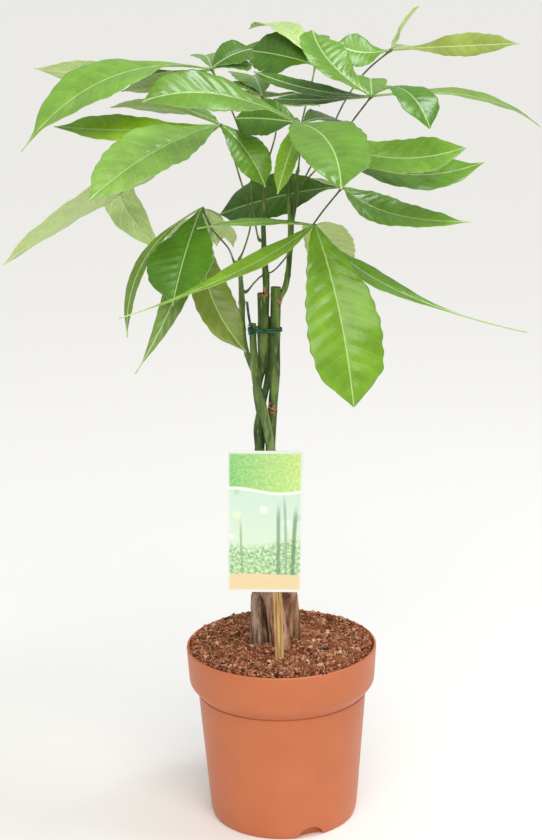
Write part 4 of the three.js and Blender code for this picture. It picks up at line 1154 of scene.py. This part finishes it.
def printed_card():
    """The same sheet printed and varnished: even pale inks under a thin clear gloss."""
    material, shader, add = new_material("card_printed_varnished", 0.32, 1.49)
    feed(shader, Coat_Weight=0.2, Coat_Roughness=0.15)
    where = add("SeparateXYZ", add("UVMap", uv_map="print")).outputs
    across, height = where["X"], where["Y"]
    height_wide = add("Math", height, CARD_HEIGHT / CARD_TOP, operation="MULTIPLY")
    square = add("CombineXYZ", across, height_wide)

    def wave(along, rate, start, swing, level):
        """A wavy edge: its level, swinging as one goes along at a rate in radians."""
        angle = add("Math", along, rate, start, operation="MULTIPLY_ADD")
        sine = add("Math", angle, operation="SINE")
        return add("Math", sine, swing, level, operation="MULTIPLY_ADD")

    def past(ground, edge, paint, bare, full, strength=1.0):
        """Paint where the height over an edge passes from bare to full."""
        gap = add("Math", height, edge, operation="SUBTRACT")
        return painted(add, ground, paint, gap, bare, full, strength)

    def grass(ground, place, lean, thickness, top, paint):
        """A soft upright stem whose middle leans and sways with the height, fading at its top."""
        middle = wave(height, 5.0, 40 * place, 0.012, place)
        leaning = add("Math", height, lean, middle, operation="MULTIPLY_ADD")
        off = add("Math", across, leaning, operation="SUBTRACT")
        away = add("Math", off, operation="ABSOLUTE")
        body = add("MapRange", away, 0.4 * thickness, thickness, 0.75, 0.0, **SMOOTH)
        fade = add("MapRange", height, top - 0.15, top, 1.0, 0.0, **SMOOTH)
        share = add("Math", body, fade, operation="MULTIPLY")
        return add("Mix", share, ground, paint, **RGBA)

    speckle = add("TexNoise", Vector=square, Scale=22.0, Detail=4.0, Roughness=0.75)
    spots = add("TexVoronoi", Vector=square, Scale=5.5).outputs
    glint = add("ValToRGB", spots["Color"], stops={0.3: "#F6FBF4", 0.5: "#9CCBA6", 0.7: "#EAF5CC"})
    meadow = add("ValToRGB", speckle, stops={0.36: "#3F7A4A", 0.48: "#8CC47C", 0.62: "#ECF4CC"})
    mottle = add("ValToRGB", speckle, stops={0.38: "#5FB080", 0.5: "#A8DC78", 0.62: "#F2F8B4"})
    sheen = add("Mix", across, "#6FBF70", "#D8EE90", **RGBA)
    band = add("Mix", 0.3, sheen, mottle, **RGBA)

    mist = add("Mix", height, "#E2F0D2", "#C6E2D6", **RGBA)
    whole = painted(add, mist, glint, spots["Distance"], 0.34, 0.24, 0.6)
    whole = past(whole, wave(across, 4.2, 3.4, 0.03, 0.36), meadow, 0.03, -0.05, 0.8)
    for stem in ((0.66, 0.05, 0.034, 0.66, "#6F9272"), (0.78, -0.04, 0.026, 0.72, "#8FB08C"),
                 (0.87, 0.06, 0.036, 0.64, "#5F8462"), (0.22, -0.05, 0.020, 0.56, "#8CB47C")):
        whole = grass(whole, *stem)
    whole = past(whole, wave(across, 5.0, 1.2, 0.02, 0.715), "#F6FBEF", -0.008, 0.0)
    whole = past(whole, wave(across, 5.0, 1.2, 0.02, 0.73), band, -0.006, 0.006)
    whole = past(whole, wave(across, 3.0, 0.8, 0.006, 0.125), "#EBD3A6", 0.006, -0.006)
    from_side = add("Math", across, 0.5, operation="PINGPONG")
    from_end = add("Math", height, 0.5, operation="PINGPONG")
    end_wide = add("Math", from_end, CARD_HEIGHT / CARD_TOP, operation="MULTIPLY")
    margin = add("Math", from_side, end_wide, operation="MINIMUM")
    inside = add("MapRange", margin, 0.02, 0.05)
    feed(shader, Base_Color=add("Mix", inside, "#E9EBE6", whole, **RGBA))
    return material


# %% Card
CARD_THICK, CARD_CORNER, CARD_LEAN = 0.8 * MM, 5 * MM, 1.4
CARD_FOOT = (-14 * MM, -46 * MM, 224.7 * MM)

card_outline = rounded([
    (-CARD_BOTTOM / 2, 0, CARD_CORNER), (CARD_BOTTOM / 2, 0, CARD_CORNER),
    (CARD_TOP / 2, CARD_HEIGHT, CARD_CORNER), (-CARD_TOP / 2, CARD_HEIGHT, CARD_CORNER)], 8)
card = prism("plant_card", card_outline, CARD_THICK, [BARE_SHEET, printed_card()])
card.data.polygons[1].material_index = 1
prints = card.data.uv_layers.new(name="print")
for loop in card.data.loops:
    x, y, _ = card.data.vertices[loop.vertex_index].co
    prints.data[loop.index].uv = (x / CARD_TOP + 0.5, y / CARD_HEIGHT)
upright = Matrix.Translation((0, CARD_THICK / 2, 0)) @ Matrix.Rotation(RIGHT_ANGLE, 4, "X")
lean = Matrix.Rotation(math.radians(CARD_LEAN), 4, "Y")
card.data.transform(Matrix.Translation(CARD_FOOT) @ lean @ upright)
card.data.set_sharp_from_angle(angle=math.radians(30))
stand_for(card, "card_print", "label_card")

# %% [markdown]
# The studio is plain: a pale floor that runs far back and a bright even sky. A sun with a very
# wide disc gives soft shade from the front and lights the far floor as much as the near one. Two
# small soft lamps, one in front on the left and one above on the right, put the gloss on the leaves.

# %% Floor and light
FLOOR_REACH = 80.0
PLANT_MIDDLE = Vector((0, 0, 0.45))
SUN_FROM = Vector((0.15, -0.9, 1.1))
SUN_DISC = math.radians(45)


def light(name, kind, place, energy, tint):
    """A light at a place, turned to the middle of the plant."""
    lamp = linked(name, bpy.data.lights.new(name, kind))
    lamp.data.energy = energy
    lamp.data.color = colour(tint)[:3]
    lamp.location = place
    lamp.rotation_euler = (PLANT_MIDDLE - place).to_track_quat("-Z", "Y").to_euler()
    return lamp.data


painted_floor, floor_shader, _ = new_material("floor_painted_pale", 0.85)
feed(floor_shader, Base_Color="#F8F7F5")
square = ((-1, -1), (1, -1), (1, 1), (-1, 1))
ground = mesh_object("floor", [(x * FLOOR_REACH, y * FLOOR_REACH, -0.2 * MM) for x, y in square],
                     [(0, 1, 2, 3)], [painted_floor])

light("sun", "SUN", SUN_FROM * 3, 1.6, "#FFFBF0").angle = SUN_DISC
light("gloss_left", "AREA", Vector((-0.9, -1.7, 1.9)), 4, "#F6F9FF").size = 0.4
light("gloss_above", "AREA", Vector((0.66, -0.12, 1.8)), 10, "#F6F9FF").size = 0.5

world = bpy.data.worlds.new("studio")
world.use_nodes = True
feed(world.node_tree.nodes["Background"], Color="#FBFDFF", Strength=0.56)
bpy.context.scene.world = world
bpy.context.scene.view_settings.view_transform = "Standard"
